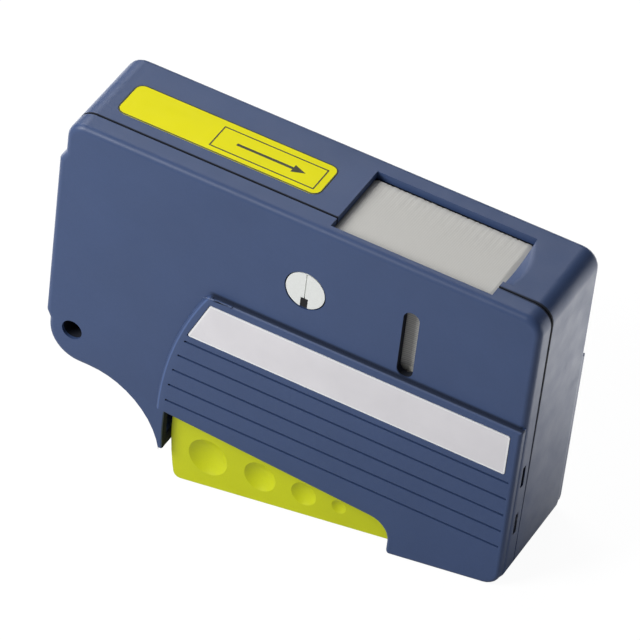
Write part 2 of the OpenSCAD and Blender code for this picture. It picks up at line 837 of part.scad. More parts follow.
// Take-up train
ratchet_teeth = 12;
ratchet_width = 0.9;
ratchet_back = gear_front - shell_clearance;
ratchet_front = ratchet_back - ratchet_width;
ratchet_web = 0.3;
cup_low_r = 6.6;
cup_high_r = 7.4;
rim_low_r = 8.5;
rim_high_r = 9.2;
ratchet_turn = 18.6;
saw_share = 0.92;
function saw(n, low, high, turn) = [
    for (i = [0:n - 1])
        let (a = turn + 360 * i / n)
        each [polar(high, a), polar(low, a + 360 * saw_share / n)]
];

module drive_gear() {
    color([0.85, 0.85, 0.8]) stand() slab(gear_front, gear_back) difference() {
        translate(take_up) rotate(sector_angle - 180 + 180 / gear_teeth) polygon([
            for (i = [0:gear_teeth - 1]) each tooth(gear_teeth, 360 * i / gear_teeth)
        ]);
        translate(take_up) circle(shaft_r + running_clearance);
    }
}

pawl_hub_r = 3.2;
pawl_reach = 6.2;
pawl_offset = 2.2;
pawl_thickness = 0.9;
module drive_pawl() {
    color([0.2, 0.2, 0.22]) stand() slab(ratchet_front + ratchet_web + shell_clearance, gear_front)
        translate(take_up) difference() {
            union() {
                circle(pawl_hub_r);
                for (side = [0, 180]) rotate(side)
                    translate([0, pawl_offset]) square([pawl_reach, pawl_thickness]);
            }
            circle(shaft_r + running_clearance);
        }
}

pawl_post_shift = [-16.1, 7.9];
pawl_post = take_up + pawl_post_shift;
pawl_post_r = 2;
pawl_eye_r = 1;
pawl_back = ratchet_back;
pawl_gap = 0.3;
leaf_thickness = 0.8;
module backstop_pawl() {
    reach = norm(take_up - pawl_post) - rim_high_r - pawl_gap;
    color([0.2, 0.2, 0.22]) stand() slab(ratchet_front, pawl_back) difference() {
        union() {
            translate(pawl_post) circle(pawl_post_r);
            translate(pawl_post)
                rotate(atan2(take_up.y - pawl_post.y, take_up.x - pawl_post.x))
                    translate([0, -leaf_thickness / 2]) square([reach, leaf_thickness]);
        }
        translate(pawl_post) circle(pawl_eye_r);
    }
}

module take_up_shaft() {
    color(steel_colour) stand()
        rod(take_up, shaft_r, disc_back, inner_back + pin_seat - shell_clearance);
}

roller_play = 0.3;
cloth_front = window_y + roller_play;
cloth_back = cloth_front + cloth_width;
module take_up_spool() {
    color([0.85, 0.85, 0.82]) stand() difference() {
        union() {
            rod(take_up, take_up_core_r, cloth_front, ratchet_front);
            slab(ratchet_front, ratchet_back) translate(take_up)
                polygon(saw(ratchet_teeth * 2, rim_low_r, rim_high_r, 0));
        }
        slab(ratchet_front + ratchet_web, ratchet_back + overrun) translate(take_up)
            polygon(saw(ratchet_teeth, cup_low_r, cup_high_r, ratchet_turn));
        rod(take_up, shaft_r, 0, case_depth);
    }
}

module take_up_roll() {
    color(cloth_colour) stand() tube(take_up, take_up_roll_r, take_up_core_r, cloth_front, cloth_back);
}

// Supply reel
spool_end = 0.4;
post_split = 14;
module supply_spool() {
    color([0.85, 0.85, 0.82]) stand()
        tube(
            supply, supply_core_r, supply_post_r + running_clearance,
            cloth_front, cloth_back + spool_end
        );
}

module supply_roll() {
    color(cloth_colour) stand() tube(supply, supply_roll_r, supply_core_r, cloth_front, cloth_back);
}

washer_r = 8;
module supply_brake_washer() {
    color([0.35, 0.35, 0.35]) stand()
        tube(
            supply, washer_r, supply_post_r + running_clearance,
            case_wall, cloth_front - shell_clearance
        );
}

// Guide rollers beside the window
guide_pin_r = 1.2;
guide_left_shift = [-4.45, -8.5];
guide_right_shift = [5.95, -9.5];
guide_left = [window_x, 0] + guide_left_shift;
guide_right = [window_end, 0] + guide_right_shift;
module guide_roller(at) {
    color([0.8, 0.8, 0.78]) stand()
        tube(at, roller_r, guide_pin_r + running_clearance, cloth_front, cloth_back);
}
module guide_pin(at) {
    color(steel_colour) stand() rod(at, guide_pin_r, case_wall - pin_seat, inner_back + pin_seat);
}
module guide_roller_left() guide_roller(guide_left);
module guide_roller_right() guide_roller(guide_right);
module guide_pin_left() guide_pin(guide_left);
module guide_pin_right() guide_pin(guide_right);

// Pad under the window, and its holder
pad_thickness = 2;
pad_left_gap = 1.5;
pad_right_gap = 1.2;
pad_left = window_x + pad_left_gap;
pad_right = window_end - pad_right_gap;
pad_top = -cloth_drop - cloth_thickness;
holder_height = 3;
holder_rib_count = 4;
holder_rib = 1.6;
holder_rib_drop = 3;
module wiping_pad() {
    color([0.3, 0.3, 0.32]) stand()
        box([pad_left, cloth_front, pad_top - pad_thickness], [pad_right, cloth_back, pad_top]);
}
module pad_holder() {
    top = pad_top - pad_thickness;
    color([0.16, 0.18, 0.22]) stand() {
        box([pad_left, case_wall, top - holder_height], [pad_right, inner_back, top]);
        for (i = [0:holder_rib_count - 1]) {
            x = pad_left + (pad_right - pad_left - holder_rib) * i / (holder_rib_count - 1);
            box(
                [x, cloth_front, top - holder_height - holder_rib_drop],
                [x + holder_rib, cloth_back, top - holder_height + overrun]
            );
        }
    }
}

// Cleaning cloth: from the supply roll over the right roller, the pad and the left roller
cloth_gap = 0.3;
cloth_off = cloth_gap + cloth_thickness / 2;
wrap_steps = 5;
right_wrap = [0, 58];
left_wrap = [120, 159];
take_up_meet = 153;
function wrap(at, r, span) = [
    for (k = [0:wrap_steps]) at + polar(r + cloth_off, span.x + (span.y - span.x) * k / wrap_steps)
];
cloth_route = concat(
    [supply + polar(supply_roll_r + cloth_off, 0)],
    wrap(guide_right, roller_r, right_wrap),
    [[pad_right, pad_top + cloth_thickness / 2], [pad_left, pad_top + cloth_thickness / 2]],
    wrap(guide_left, roller_r, left_wrap),
    [take_up + polar(take_up_roll_r + cloth_off, take_up_meet)]
);
function side_of(route, i, d) =
    let (
        n = len(route),
        u = unit(route[min(i + 1, n - 1)] - route[min(i, n - 2)]),
        v = unit(route[max(i, 1)] - route[max(i - 1, 0)]),
        m = left_of(u) + left_of(v)
    )
    route[i] + 2 * d * m / (m * m);
module cleaning_cloth() {
    n = len(cloth_route);
    color(cloth_colour) stand() slab(cloth_front, cloth_back) polygon(concat(
        [for (i = [0:n - 1]) side_of(cloth_route, i, cloth_thickness / 2)],
        [for (i = [n - 1:-1:0]) side_of(cloth_route, i, -cloth_thickness / 2)]
    ));
}

front_shell();
rear_shell();
arrow_label();
name_strip();
indicator_disc();
lever();
lever_pivot_pin();
lever_return_spring();
drive_gear();
drive_pawl();
backstop_pawl();
take_up_shaft();
take_up_spool();
take_up_roll();
supply_spool();
supply_roll();
supply_brake_washer();
guide_roller_left();
guide_roller_right();
guide_pin_left();
guide_pin_right();
pad_holder();
wiping_pad();
cleaning_cloth();
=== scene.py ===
"""Looks of a hand-held reel cleaner for optical connectors, dressed over its CAD frame.

Sizes are in millimetres in the case's own axes: x from the case's left wall, y back from its front
face, z up from its top face. CaseAxes carries them to the frame, where the cleaner stands on its foot.
"""

import json
import logging
import math
from dataclasses import dataclass, replace
from enum import Enum
from typing import Callable, Sequence, Union

import bmesh
import bpy
from mathutils import Matrix, Vector


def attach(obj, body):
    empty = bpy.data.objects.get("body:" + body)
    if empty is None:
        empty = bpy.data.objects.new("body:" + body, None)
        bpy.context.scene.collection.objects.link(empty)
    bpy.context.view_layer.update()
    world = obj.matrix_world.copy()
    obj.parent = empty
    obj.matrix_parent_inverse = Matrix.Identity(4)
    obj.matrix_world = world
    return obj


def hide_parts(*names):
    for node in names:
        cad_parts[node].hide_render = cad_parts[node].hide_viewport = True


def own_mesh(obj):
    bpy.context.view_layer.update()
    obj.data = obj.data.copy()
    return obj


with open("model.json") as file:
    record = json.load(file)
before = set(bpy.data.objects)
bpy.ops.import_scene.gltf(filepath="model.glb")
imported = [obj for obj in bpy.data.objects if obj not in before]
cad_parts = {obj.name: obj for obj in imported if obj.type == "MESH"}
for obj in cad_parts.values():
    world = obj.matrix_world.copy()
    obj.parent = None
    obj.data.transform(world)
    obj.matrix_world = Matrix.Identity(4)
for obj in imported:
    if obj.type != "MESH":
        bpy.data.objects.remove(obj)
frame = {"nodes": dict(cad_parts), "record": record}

LOG = logging.getLogger("cleaner")
Colour = tuple[float, float, float]
Place = tuple[float, float, float]
Spot = tuple[float, float]
Number = Union[float, "Value"]
Test = Callable[..., bool]
Piece = bpy.types.Object
Socket = bpy.types.NodeSocket
Material = bpy.types.Material
Materials = Sequence[Material]
Surface = tuple[Socket, "Value", tuple["Value", float, float]]
CAD_MERGE = 0.000003
CAD_FLAT = math.radians(0.4)
MERGE = 0.0005
TOUCH = 0.01
DRUM_SIDES = 128
FACING = 0.9


class Body(Enum):
    """Bodies of the frame that pieces ride on."""

    CASE = "case"
    LEVER = "lever"
    TAKE_UP = "take_up_reel"
    SUPPLY = "supply_reel"


class Slot(Enum):
    """Material slots of the record."""

    CASE = "case_plastic"
    LEVER = "lever_plastic"
    LABEL = "label_film"
    STRIP = "strip_film"
    WHITE = "white_plastic"
    CLOTH = "cloth"
    FELT = "felt"
    FOAM = "foam"
    STEEL = "steel"


@dataclass(frozen=True)
class CaseAxes:
    """The case's own axes and how they lie in the frame."""

    tilt: float = math.radians(9.8)
    pivot: Spot = (119.0, -83.0)
    depth: float = 32.0
    scale: float = 0.001

    def matrix(self) -> Matrix:
        """Matrix from millimetres in the case's axes to metres in the frame.

        Returns:
            The matrix.
        """
        pivot = Vector(joint_place("lever_swing"))
        start = Matrix.Translation((-self.pivot[0], -self.depth / 2, -self.pivot[1]))
        turn = Matrix.Rotation(self.tilt, 4, "Y")
        return Matrix.Translation(pivot) @ turn @ Matrix.Scale(self.scale, 4) @ start

    def joint(self, name: str) -> Spot:
        """Place of a joint's axis in the case's axes, as x and z."""
        at = self.matrix().inverted() @ Vector(joint_place(name))
        return at.x, at.z


def joint_place(name: str) -> Place:
    """Place of a joint in the frame, in metres."""
    return next(joint["pos_m"] for joint in frame["record"]["behaviour"]["joints"] if joint["name"] == name)


CASE = CaseAxes()


# Shader maths


class Value:
    """A shader socket that Python's operators work on, each adding a Math node."""

    def __init__(self, graph: "Graph", socket: Socket) -> None:
        """Wraps an output socket of a graph's node."""
        self.graph = graph
        self.socket = socket

    def maths(self, operation: str, *others: Number) -> "Value":
        """What a Math node makes of this and others."""
        return self.graph.maths(operation, self, *others)

    def __add__(self, other: Number) -> "Value":
        """This plus another."""
        return self.maths("ADD", other)

    def __sub__(self, other: Number) -> "Value":
        """This minus another."""
        return self.maths("SUBTRACT", other)

    def __rsub__(self, other: Number) -> "Value":
        """Another minus this."""
        return self.graph.maths("SUBTRACT", other, self)

    def __mul__(self, other: Number) -> "Value":
        """This times another."""
        return self.maths("MULTIPLY", other)

    def __pow__(self, other: Number) -> "Value":
        """This to the power of another."""
        return self.maths("POWER", other)

    __radd__ = __add__
    __rmul__ = __mul__

    def wave(self) -> "Value":
        """Sine of this, moved to run from 0 to 1."""
        return self.maths("SINE") * 0.5 + 0.5

    def near(self, place: float, reach: float, fade: float = 0.15) -> "Value":
        """1 within a reach of a place, 0 beyond it, with a short fade."""
        return 1 - (self - place).maths("ABSOLUTE").band(reach, reach + fade)

    def band(self, low: float, high: float) -> "Value":
        """This, taken from low..high to 0..1 and kept there."""
        node = self.graph.node("MapRange", {"clamp": True}, self, low, high, 0.0, 1.0)
        return Value(self.graph, node.outputs[0])


class Graph:
    """Node tree of one material, or of the world."""

    def __init__(self, name: str, world: bool = False) -> None:
        """Starts an empty material with a Principled shader, or an empty world.

        Args:
            name: its name.
            world: whether it is a world.
        """
        self.owner = (bpy.data.worlds if world else bpy.data.materials).new(name)
        self.owner.use_nodes = True
        self.nodes = self.owner.node_tree.nodes
        self.links = self.owner.node_tree.links
        self.nodes.clear()
        self.shader = self.nodes.new("ShaderNodeBackground" if world else "ShaderNodeBsdfPrincipled")
        self.output = self.nodes.new("ShaderNodeOutputWorld" if world else "ShaderNodeOutputMaterial")
        self.show(self.shader)

    def show(self, shader: bpy.types.Node) -> None:
        """Links a shader to the output."""
        self.links.new(shader.outputs[0], self.output.inputs["Surface"])

    def node(self, kind: str, settings: dict, *inputs: object, **named: object) -> bpy.types.Node:
        """Adds one node.

        Args:
            kind: the node's type, without ShaderNode.
            settings: its settings, set before its sockets.
            inputs: values or links of its first sockets; None leaves one as it is.
            named: values or links of its other sockets, by name, with _ for a space.

        Returns:
            The node.
        """
        made = self.nodes.new("ShaderNode" + kind)
        for key, value in settings.items():
            setattr(made, key, value)
        pairs = list(zip(made.inputs, inputs))
        pairs += [(made.inputs[key.replace("_", " ")], value) for key, value in named.items()]
        for socket, value in pairs:
            self.feed(socket, value)
        return made

    def maths(self, operation: str, *inputs: Number) -> Value:
        """The output of a new Math node."""
        return Value(self, self.node("Math", {"operation": operation}, *inputs).outputs[0])

    def feed(self, socket: Socket, value: object) -> None:
        """Links a value to a socket, or sets a plain number or colour on it.

        Args:
            socket: the socket.
            value: what it gets; None leaves it as it is.
        """
        if isinstance(value, Value):
            value = value.socket
        if isinstance(value, Socket):
            self.links.new(value, socket)
        elif value is not None:
            socket.default_value = value

    def set(self, name: str, value: object) -> None:
        """Feeds one socket of the tree's own shader."""
        self.feed(self.shader.inputs[name], value)

    def mapped(self, *inputs: object) -> Socket:
        """Object coordinates through a Mapping node, given its location, rotation and scale."""
        here = self.node("TexCoord", {})
        return self.node("Mapping", {}, here.outputs["Object"], *inputs).outputs[0]

    def place(self, scale: Place = (1.0, 1.0, 1.0), turn: float = 0.0) -> Socket:
        """Object coordinates, turned about Y and scaled."""
        turned = self.mapped(None, (0.0, turn, 0.0))
        return self.node("VectorMath", {"operation": "MULTIPLY"}, turned, scale).outputs[0]

    def case_place(self) -> tuple[Value, Value, Value]:
        """Place in the case's own axes, in millimetres."""
        back = CASE.matrix().inverted().translation
        return self.parts(self.mapped(back, (0.0, -CASE.tilt, 0.0), (1 / CASE.scale,) * 3))

    def noise(self, scale: float, detail: float = 2.0, stretch: Place = (1.0, 1.0, 1.0)) -> Value:
        """Noise at a scale in cells a metre.

        Args:
            scale: the scale.
            detail: the node's detail.
            stretch: its scale along each axis.

        Returns:
            The noise, in 0..1.
        """
        place = self.place(stretch)
        made = self.node("TexNoise", {}, place, Scale=scale, Detail=detail, Roughness=0.55)
        return Value(self, made.outputs[0])

    def parts(self, vector: Socket) -> tuple[Value, Value, Value]:
        """The three numbers of a vector."""
        made = self.node("SeparateXYZ", {}, vector)
        return tuple(Value(self, out) for out in made.outputs)

    def blend(self, factor: Number, low: object, high: object) -> Socket:
        """Mixes two colours, each a plain one or a link.

        Args:
            factor: the share of the second.
            low: the first.
            high: the second.

        Returns:
            The mixed colour.
        """
        made = self.node("Mix", {"data_type": "RGBA"}, factor)
        for socket, colour in zip(made.inputs[6:8], (low, high)):
            self.feed(socket, (*colour, 1.0) if isinstance(colour, tuple) else colour)
        return made.outputs[2]

    def mottle(self, factor: Value, colour: Colour, low: float, high: float) -> Socket:
        """A colour that runs between two shares of its brightness."""
        return self.blend(factor, shade(colour, low), shade(colour, high))

    def bump(self, height: Value, distance: float, strength: float) -> None:
        """Feeds the shader's normal from a height in 0..1 over a distance in metres."""
        made = self.node("Bump", {}, Height=height, Distance=distance, Strength=strength)
        self.set("Normal", made.outputs[0])


def out_from(middle: Spot, x: Value, z: Value) -> Value:
    """Distance from an axis along the case's depth."""
    return ((x - middle[0]) ** 2 + (z - middle[1]) ** 2) ** 0.5


def shade(colour: Colour, share: float) -> Colour:
    """A colour made darker or lighter by a share."""
    return tuple(min(1.0, part * share) for part in colour)


def plain(red: int, green: int, blue: int) -> Colour:
    """A colour as the eye reads it, 0 to 255, in Blender's linear numbers.

    Args:
        red: its red part.
        green: its green part.
        blue: its blue part.

    Returns:
        The three linear numbers.
    """

    def line(part: float) -> float:
        """One part of it."""
        return part / 12.92 if part <= 0.04045 else ((part + 0.055) / 1.055) ** 2.4

    return line(red / 255), line(green / 255), line(blue / 255)


# Finishes


@dataclass(frozen=True)
class Finish:
    """A procedural material with a main colour."""

    name: str
    colour: Colour

    def build(self) -> Material:
        """Builds the material.

        Returns:
            The material.
        """
        graph = Graph(self.name)
        tint, rough, relief = self.surface(graph)
        graph.set("Base Color", tint)
        graph.set("Roughness", rough)
        graph.bump(*relief)
        return graph.owner

    def surface(self, graph: Graph) -> Surface:
        """Colour, roughness and relief."""
        raise NotImplementedError


@dataclass(frozen=True)
class MouldedPlastic(Finish):
    """Injection-moulded plastic with a fine spark-eroded grain, and a paler copy for its edges as a painted
    highlight.
    """

    roughness: float = 0.42
    grain: float = 2600.0
    grain_depth: float = 0.00003
    mottle: float = 0.05
    pitted: float = 0.86

    def surface(self, graph: Graph) -> Surface:
        """Colour, roughness and relief.

        Args:
            graph: the material's node tree.

        Returns:
            Its colour, roughness and relief.
        """
        cloud = graph.noise(45.0, 3.0).band(0.3, 0.7)
        fine = graph.noise(self.grain, 2.0)
        tint = graph.mottle(cloud, self.colour, 1 - self.mottle, 1 + self.mottle)
        tint = graph.blend(fine.band(0.35, 0.75) * 0.35, tint, shade(self.colour, self.pitted))
        rough = graph.noise(160.0, 4.0).band(0.25, 0.75) * 0.1 + (self.roughness - 0.05)
        return tint, rough, (fine, self.grain_depth, 0.5)

    def edge_highlight(self, share: float) -> "MouldedPlastic":
        """The same plastic for bevelled edges: smoother, and paler as a painted highlight.

        Args:
            share: how far its colour is lightened for the painted highlight.

        Returns:
            The other plastic.
        """
        return replace(
            self, name=self.name + "_edge", colour=shade(self.colour, share),
            roughness=self.roughness - 0.06, grain_depth=self.grain_depth / 3,
        )


@dataclass(frozen=True)
class CasePlastic(MouldedPlastic):
    """The case's plastic, with a painted highlight along the grip panel's left rim and painted shade along
    the seam and in its hollows.

    Numbers in reach are a place, how far the mark goes to either side of it and, where there are three,
    how softly it ends. Numbers in fade are where the mark begins and where it is full.
    """

    # Painted shade: colour share of the seam and hollow marks, and the roughness they add
    painted_shade: float = 0.08
    painted_shade_rough: float = 0.4
    seam_reach: Spot = (6.2, 0.28)
    seam_fade_z: Spot = (-75.0, -40.0)
    corner_reach: Spot = (6.1, 0.62)
    corner_fade_x: Spot = (112.0, 128.0)
    corner_fade_z: Spot = (-62.0, -20.0)
    panel_reach_z: Place = (-34.4, 0.3, 0.7)
    panel_reach_y: Place = (-0.4, 0.5, 0.2)
    panel_fade_x: Spot = (42.8, 44.2)
    panel_share: float = 0.75
    rim_middle: Spot = (123.0, -77.1)
    rim_reach: Spot = (90.1, 0.12)
    rim_reach_y: Spot = (-1.2, 0.6)
    rim_reach_z: Spot = (-56.0, 22.0)
    # Painted highlight: share and lightening of the pale band along the grip panel's left rim
    rim_highlight_share: float = 0.6
    rim_highlight_lift: float = 1.9
    latch_reach: tuple[Spot, Spot, Spot] = ((127.5, 2.3), (3.2, 1.0), (-60.0, 14.0))
    view_reach: tuple[Spot, Spot, Spot] = ((96.65, 2.25), (1.5, 1.1), (-23.8, 10.4))
    bay_reach_x: Spot = (60.0, 44.0)
    bay_reach_y: Place = (16.0, 15.6, 0.1)
    bay_fade_z: Spot = (-74.0, -75.0)
    bay_r: Spot = (85.0, 85.2)
    strap: Spot = (6.4, -65.6)
    strap_r: Spot = (2.9, 3.0)
    strap_reach_y: Spot = (16.0, 15.0)

    def surface(self, graph: Graph) -> Surface:
        """The same with a painted highlight on the rim, and painted shade along the seam and in the hollows.

        Args:
            graph: the material's node tree.

        Returns:
            Its colour, roughness and relief.
        """
        tint, rough, relief = super().surface(graph)
        x, y, z = graph.case_place()
        # Painted highlight: a paler band along the grip panel's left rim
        rim = out_from(self.rim_middle, x, z).near(*self.rim_reach)
        rim = rim * y.near(*self.rim_reach_y) * z.near(*self.rim_reach_z)
        tint = graph.blend(rim * self.rim_highlight_share, tint, shade(self.colour, self.rim_highlight_lift))
        # Painted shade: the seam and the hollows darkened to near-black
        dark = self.seam_line(x, y, z)
        for mark in self.hollows(x, y, z):
            dark = dark.maths("MAXIMUM", mark)
        tint = graph.blend(dark, tint, shade(self.colour, self.painted_shade))
        return tint, rough + dark * self.painted_shade_rough, relief

    def seam_line(self, x: Value, y: Value, z: Value) -> Value:
        """Painted shade along the seam's gap, widest round the top right corner."""
        corner = y.near(*self.corner_reach) * x.band(*self.corner_fade_x) * z.band(*self.corner_fade_z)
        return (y.near(*self.seam_reach) * z.band(*self.seam_fade_z)).maths("MAXIMUM", corner)

    def hollows(self, x: Value, y: Value, z: Value) -> list[Value]:
        """Shade above the grip panel, in the latch and view slots, the lever's bay and the strap hole.

        Args:
            x: place along the case.
            y: place across its depth.
            z: place up it.

        Returns:
            The marks, each 0 to 1.
        """
        step = z.near(*self.panel_reach_z) * y.near(*self.panel_reach_y) * x.band(*self.panel_fade_x)
        marks = [step * self.panel_share]
        for across, deep, high in (self.latch_reach, self.view_reach):
            marks.append(x.near(*across) * y.near(*deep) * z.near(*high))
        bay = 1 - out_from(CASE.pivot, x, z).band(*self.bay_r)
        bay = bay * y.near(*self.bay_reach_y) * z.band(*self.bay_fade_z) * x.near(*self.bay_reach_x)
        hole = 1 - out_from(self.strap, x, z).band(*self.strap_r)
        return [*marks, bay, hole * y.near(*self.strap_reach_y)]


@dataclass(frozen=True)
class PrintedFilm(Finish):
    """A printed plastic film with a faintly uneven surface."""

    roughness: float = 0.35
    gloss: float = 0.5

    def surface(self, graph: Graph) -> Surface:
        """Colour, roughness and relief.

        Args:
            graph: the material's node tree.

        Returns:
            Its colour, roughness and relief.
        """
        graph.set("Specular IOR Level", self.gloss)
        tint = graph.mottle(graph.noise(90.0, 2.0).band(0.3, 0.7), self.colour, 0.96, 1.02)
        rough = graph.noise(400.0, 3.0).band(0.3, 0.7) * 0.12 + self.roughness
        return tint, rough, (graph.noise(700.0, 1.0), 0.00002, 0.35)


@dataclass(frozen=True)
class WovenCloth(Finish):
    """Fine micro-fibre cloth in a plain weave, its threads along and across the case."""

    thread: float = 0.0005

    def surface(self, graph: Graph) -> Surface:
        """Colour, roughness and relief.

        Args:
            graph: the material's node tree.

        Returns:
            Its colour, roughness and relief.
        """
        graph.set("Sheen Weight", 0.15)
        turns = 2 * math.pi / self.thread
        x, y, _ = graph.parts(graph.place((turns, turns, turns), -CASE.tilt))
        fuzz = graph.noise(5200.0, 3.0)
        weave = x.wave() * y.wave() + (1 - x.wave()) * (1 - y.wave())
        height = weave * 0.7 + fuzz * 0.3
        soil = graph.noise(120.0, 4.0)
        tone = graph.mottle(height.band(0.2, 0.8), self.colour, 0.86, 1.05)
        tint = graph.blend(soil.band(0.45, 0.8) * 0.15, tone, shade(self.colour, 0.9))
        return tint, fuzz.band(0.2, 0.8) * 0.1 + 0.85, (height, 0.00008, 0.6)


@dataclass(frozen=True)
class WoundCloth(Finish):
    """The edges of cloth wound round an axis, one ring for each turn."""

    axis: Spot
    pitch: float = 0.0006

    def surface(self, graph: Graph) -> Surface:
        """Colour, roughness and relief.

        Args:
            graph: the material's node tree.

        Returns:
            Its colour, roughness and relief.
        """
        middle = CASE.matrix() @ Vector((self.axis[0], 0.0, self.axis[1]))
        x, _, z = graph.parts(graph.place())
        out = out_from((middle.x, middle.z), x, z)
        wobble = graph.noise(260.0, 2.0) * 1.6
        ring = (out * (2 * math.pi / self.pitch) + wobble).wave()
        fuzz = graph.noise(4200.0, 3.0)
        tone = graph.mottle(ring, self.colour, 0.68, 1.04)
        tint = graph.blend(fuzz.band(0.4, 0.8) * 0.3, tone, shade(self.colour, 0.8))
        return tint, fuzz.band(0.2, 0.8) * 0.1 + 0.86, (ring * 0.7 + fuzz * 0.3, 0.0001, 0.6)


@dataclass(frozen=True)
class SoftFill(Finish):
    """Felt or closed-cell foam: matt, with a fuzzy or pitted surface."""

    cell: float = 2400.0
    depth: float = 0.00015

    def surface(self, graph: Graph) -> Surface:
        """Colour, roughness and relief.

        Args:
            graph: the material's node tree.

        Returns:
            Its colour, roughness and relief.
        """
        cells = graph.node("TexVoronoi", {}, graph.place(), Scale=self.cell)
        pits = Value(graph, cells.outputs[0])
        fuzz = graph.noise(self.cell * 1.7, 3.0)
        tint = graph.mottle(pits.band(0.1, 0.7), self.colour, 0.7, 1.2)
        return tint, fuzz.band(0.2, 0.8) * 0.08 + 0.88, (pits * 0.6 + fuzz * 0.4, self.depth, 0.7)


@dataclass(frozen=True)
class GroundSteel(Finish):
    """Steel with fine grinding marks round its axis."""

    roughness: float = 0.3

    def surface(self, graph: Graph) -> Surface:
        """Colour, roughness and relief.

        Args:
            graph: the material's node tree.

        Returns:
            Its colour, roughness and relief.
        """
        graph.set("Metallic", 1.0)
        marks = graph.noise(900.0, 4.0, (0.12, 6.0, 0.12))
        tint = graph.mottle(marks.band(0.3, 0.7), self.colour, 0.88, 1.05)
        return tint, marks.band(0.2, 0.8) * 0.16 + (self.roughness - 0.08), (marks, 0.00001, 0.4)


CASE_BLUE = CasePlastic("case_blue", plain(62, 82, 123), 0.44)
LEVER_GREEN = MouldedPlastic("lever_yellow_green", plain(214, 221, 4), 0.42)
WHITE_ACETAL = MouldedPlastic("white_acetal", plain(244, 246, 242), 0.4, mottle=0.02)
GEAR_ACETAL = MouldedPlastic("gear_acetal", plain(226, 224, 212), 0.45, mottle=0.03)
DARK_PLASTIC = MouldedPlastic("dark_plastic", plain(52, 56, 64), 0.5)
# Painted shade: near-black for the block in the disc's notch
NOTCH_PAINTED_SHADE = MouldedPlastic("notch_black", plain(18, 18, 20), 0.6)
LABEL_YELLOW = PrintedFilm("label_yellow", plain(248, 240, 0), 0.5, 0.2)
LABEL_INK = PrintedFilm("label_ink", plain(50, 52, 22), 0.4)
STRIP_SILVER = PrintedFilm("strip_silver", plain(238, 235, 238), 0.3)
STRIP_RIM = PrintedFilm("strip_rim", plain(252, 252, 253), 0.25)
CLOTH_GREY = WovenCloth("cleaning_cloth", plain(216, 214, 208))
FELT_GREY = SoftFill("brake_felt", plain(96, 94, 92), 3600.0)
FOAM_BLACK = SoftFill("pad_foam", plain(74, 74, 78), 1800.0)
STEEL = GroundSteel("ground_steel", (0.62, 0.62, 0.64))


# Work on meshes


class Workpiece:
    """One new piece, shaped in edit mode in the case's millimetres."""

    def __init__(self, name: str) -> None:
        """Takes the primitive that was just added.

        Args:
            name: its name.
        """
        self.object = bpy.context.active_object
        self.object.name = self.object.data.name = name
        bpy.ops.object.transform_apply(location=True, rotation=True, scale=True)
        bpy.ops.object.mode_set(mode="EDIT")

    @classmethod
    def plate(cls, name: str, low: Place, high: Place) -> "Workpiece":
        """A flat rectangle between two corners at one height.

        Args:
            name: the piece's name.
            low: its left front corner.
            high: its right rear corner.

        Returns:
            The piece, in edit mode.
        """
        clear_selection()
        bpy.ops.mesh.primitive_plane_add(size=1.0, location=(Vector(low) + Vector(high)) / 2)
        bpy.context.active_object.scale = (high[0] - low[0], high[1] - low[1], 1.0)
        return cls(name)

    @classmethod
    def block(cls, name: str, low: Place, high: Place) -> "Workpiece":
        """A box between two corners.

        Args:
            name: the piece's name.
            low: its lowest corner.
            high: its highest corner.

        Returns:
            The piece, in edit mode.
        """
        clear_selection()
        bpy.ops.mesh.primitive_cube_add(size=1.0, location=(Vector(low) + Vector(high)) / 2)
        bpy.context.active_object.scale = Vector(high) - Vector(low)
        return cls(name)

    @classmethod
    def drum(cls, name: str, at: Spot, radius: float, span: Spot) -> "Workpiece":
        """A cylinder along the case's depth.

        Args:
            name: the piece's name.
            at: its axis, as x and z.
            radius: its radius.
            span: its front and rear end.

        Returns:
            The piece, in edit mode.
        """
        clear_selection()
        bpy.ops.mesh.primitive_cylinder_add(
            vertices=DRUM_SIDES, radius=radius, depth=span[1] - span[0],
            location=(at[0], sum(span) / 2, at[1]), rotation=(math.pi / 2, 0.0, 0.0),
        )
        return cls(name)

    def faces(self, test: Test) -> None:
        """Selects the faces whose middle and normal pass a test."""
        choose(self.object, "faces", lambda face: test(face.calc_center_median(), face.normal))

    def edges(self, test: Test) -> None:
        """Selects the edges whose two ends pass a test."""
        choose(self.object, "edges", lambda edge: test(edge.verts[0].co, edge.verts[1].co))

    def points(self, test: Test) -> None:
        """Selects the points that pass a test."""
        choose(self.object, "verts", lambda point: test(point.co))

    def end(self, side: int) -> None:
        """Selects the front end of a drum, with side -1, or its rear end, with side 1."""
        self.faces(lambda middle, normal: normal.y * side > FACING)

    def pull(self, by: Place) -> None:
        """Extrudes what is selected."""
        bpy.ops.mesh.extrude_region_move(TRANSFORM_OT_translate={"value": by})

    def pull_edge(self, by: Place) -> None:
        """Extrudes the selected edges into new faces."""
        bpy.ops.mesh.extrude_edges_move(TRANSFORM_OT_translate={"value": by})

    def modify(self, kind: str, **settings: object) -> None:
        """Adds a modifier and applies it.

        Args:
            kind: the modifier's type.
            settings: its settings.
        """
        bpy.ops.object.mode_set(mode="OBJECT")
        add_modifier(self.object, kind, **settings)
        bpy.ops.object.mode_set(mode="EDIT")

    def settle(self, *looks: object) -> Piece:
        """Puts the piece in its place in the frame and dresses it with its looks.

        Args:
            looks: what dress takes after the piece.

        Returns:
            The piece.
        """
        bpy.ops.mesh.select_all(action="SELECT")
        bpy.ops.mesh.remove_doubles(threshold=MERGE)
        bpy.ops.mesh.normals_make_consistent(inside=False)
        bpy.ops.object.mode_set(mode="OBJECT")
        self.object.data.transform(CASE.matrix())
        self.object.data.update()
        return dress(self.object, *looks)


def off(point: Vector, at: Spot) -> float:
    """Distance of a point from an axis along the case's depth."""
    return math.dist((point.x, point.z), at)


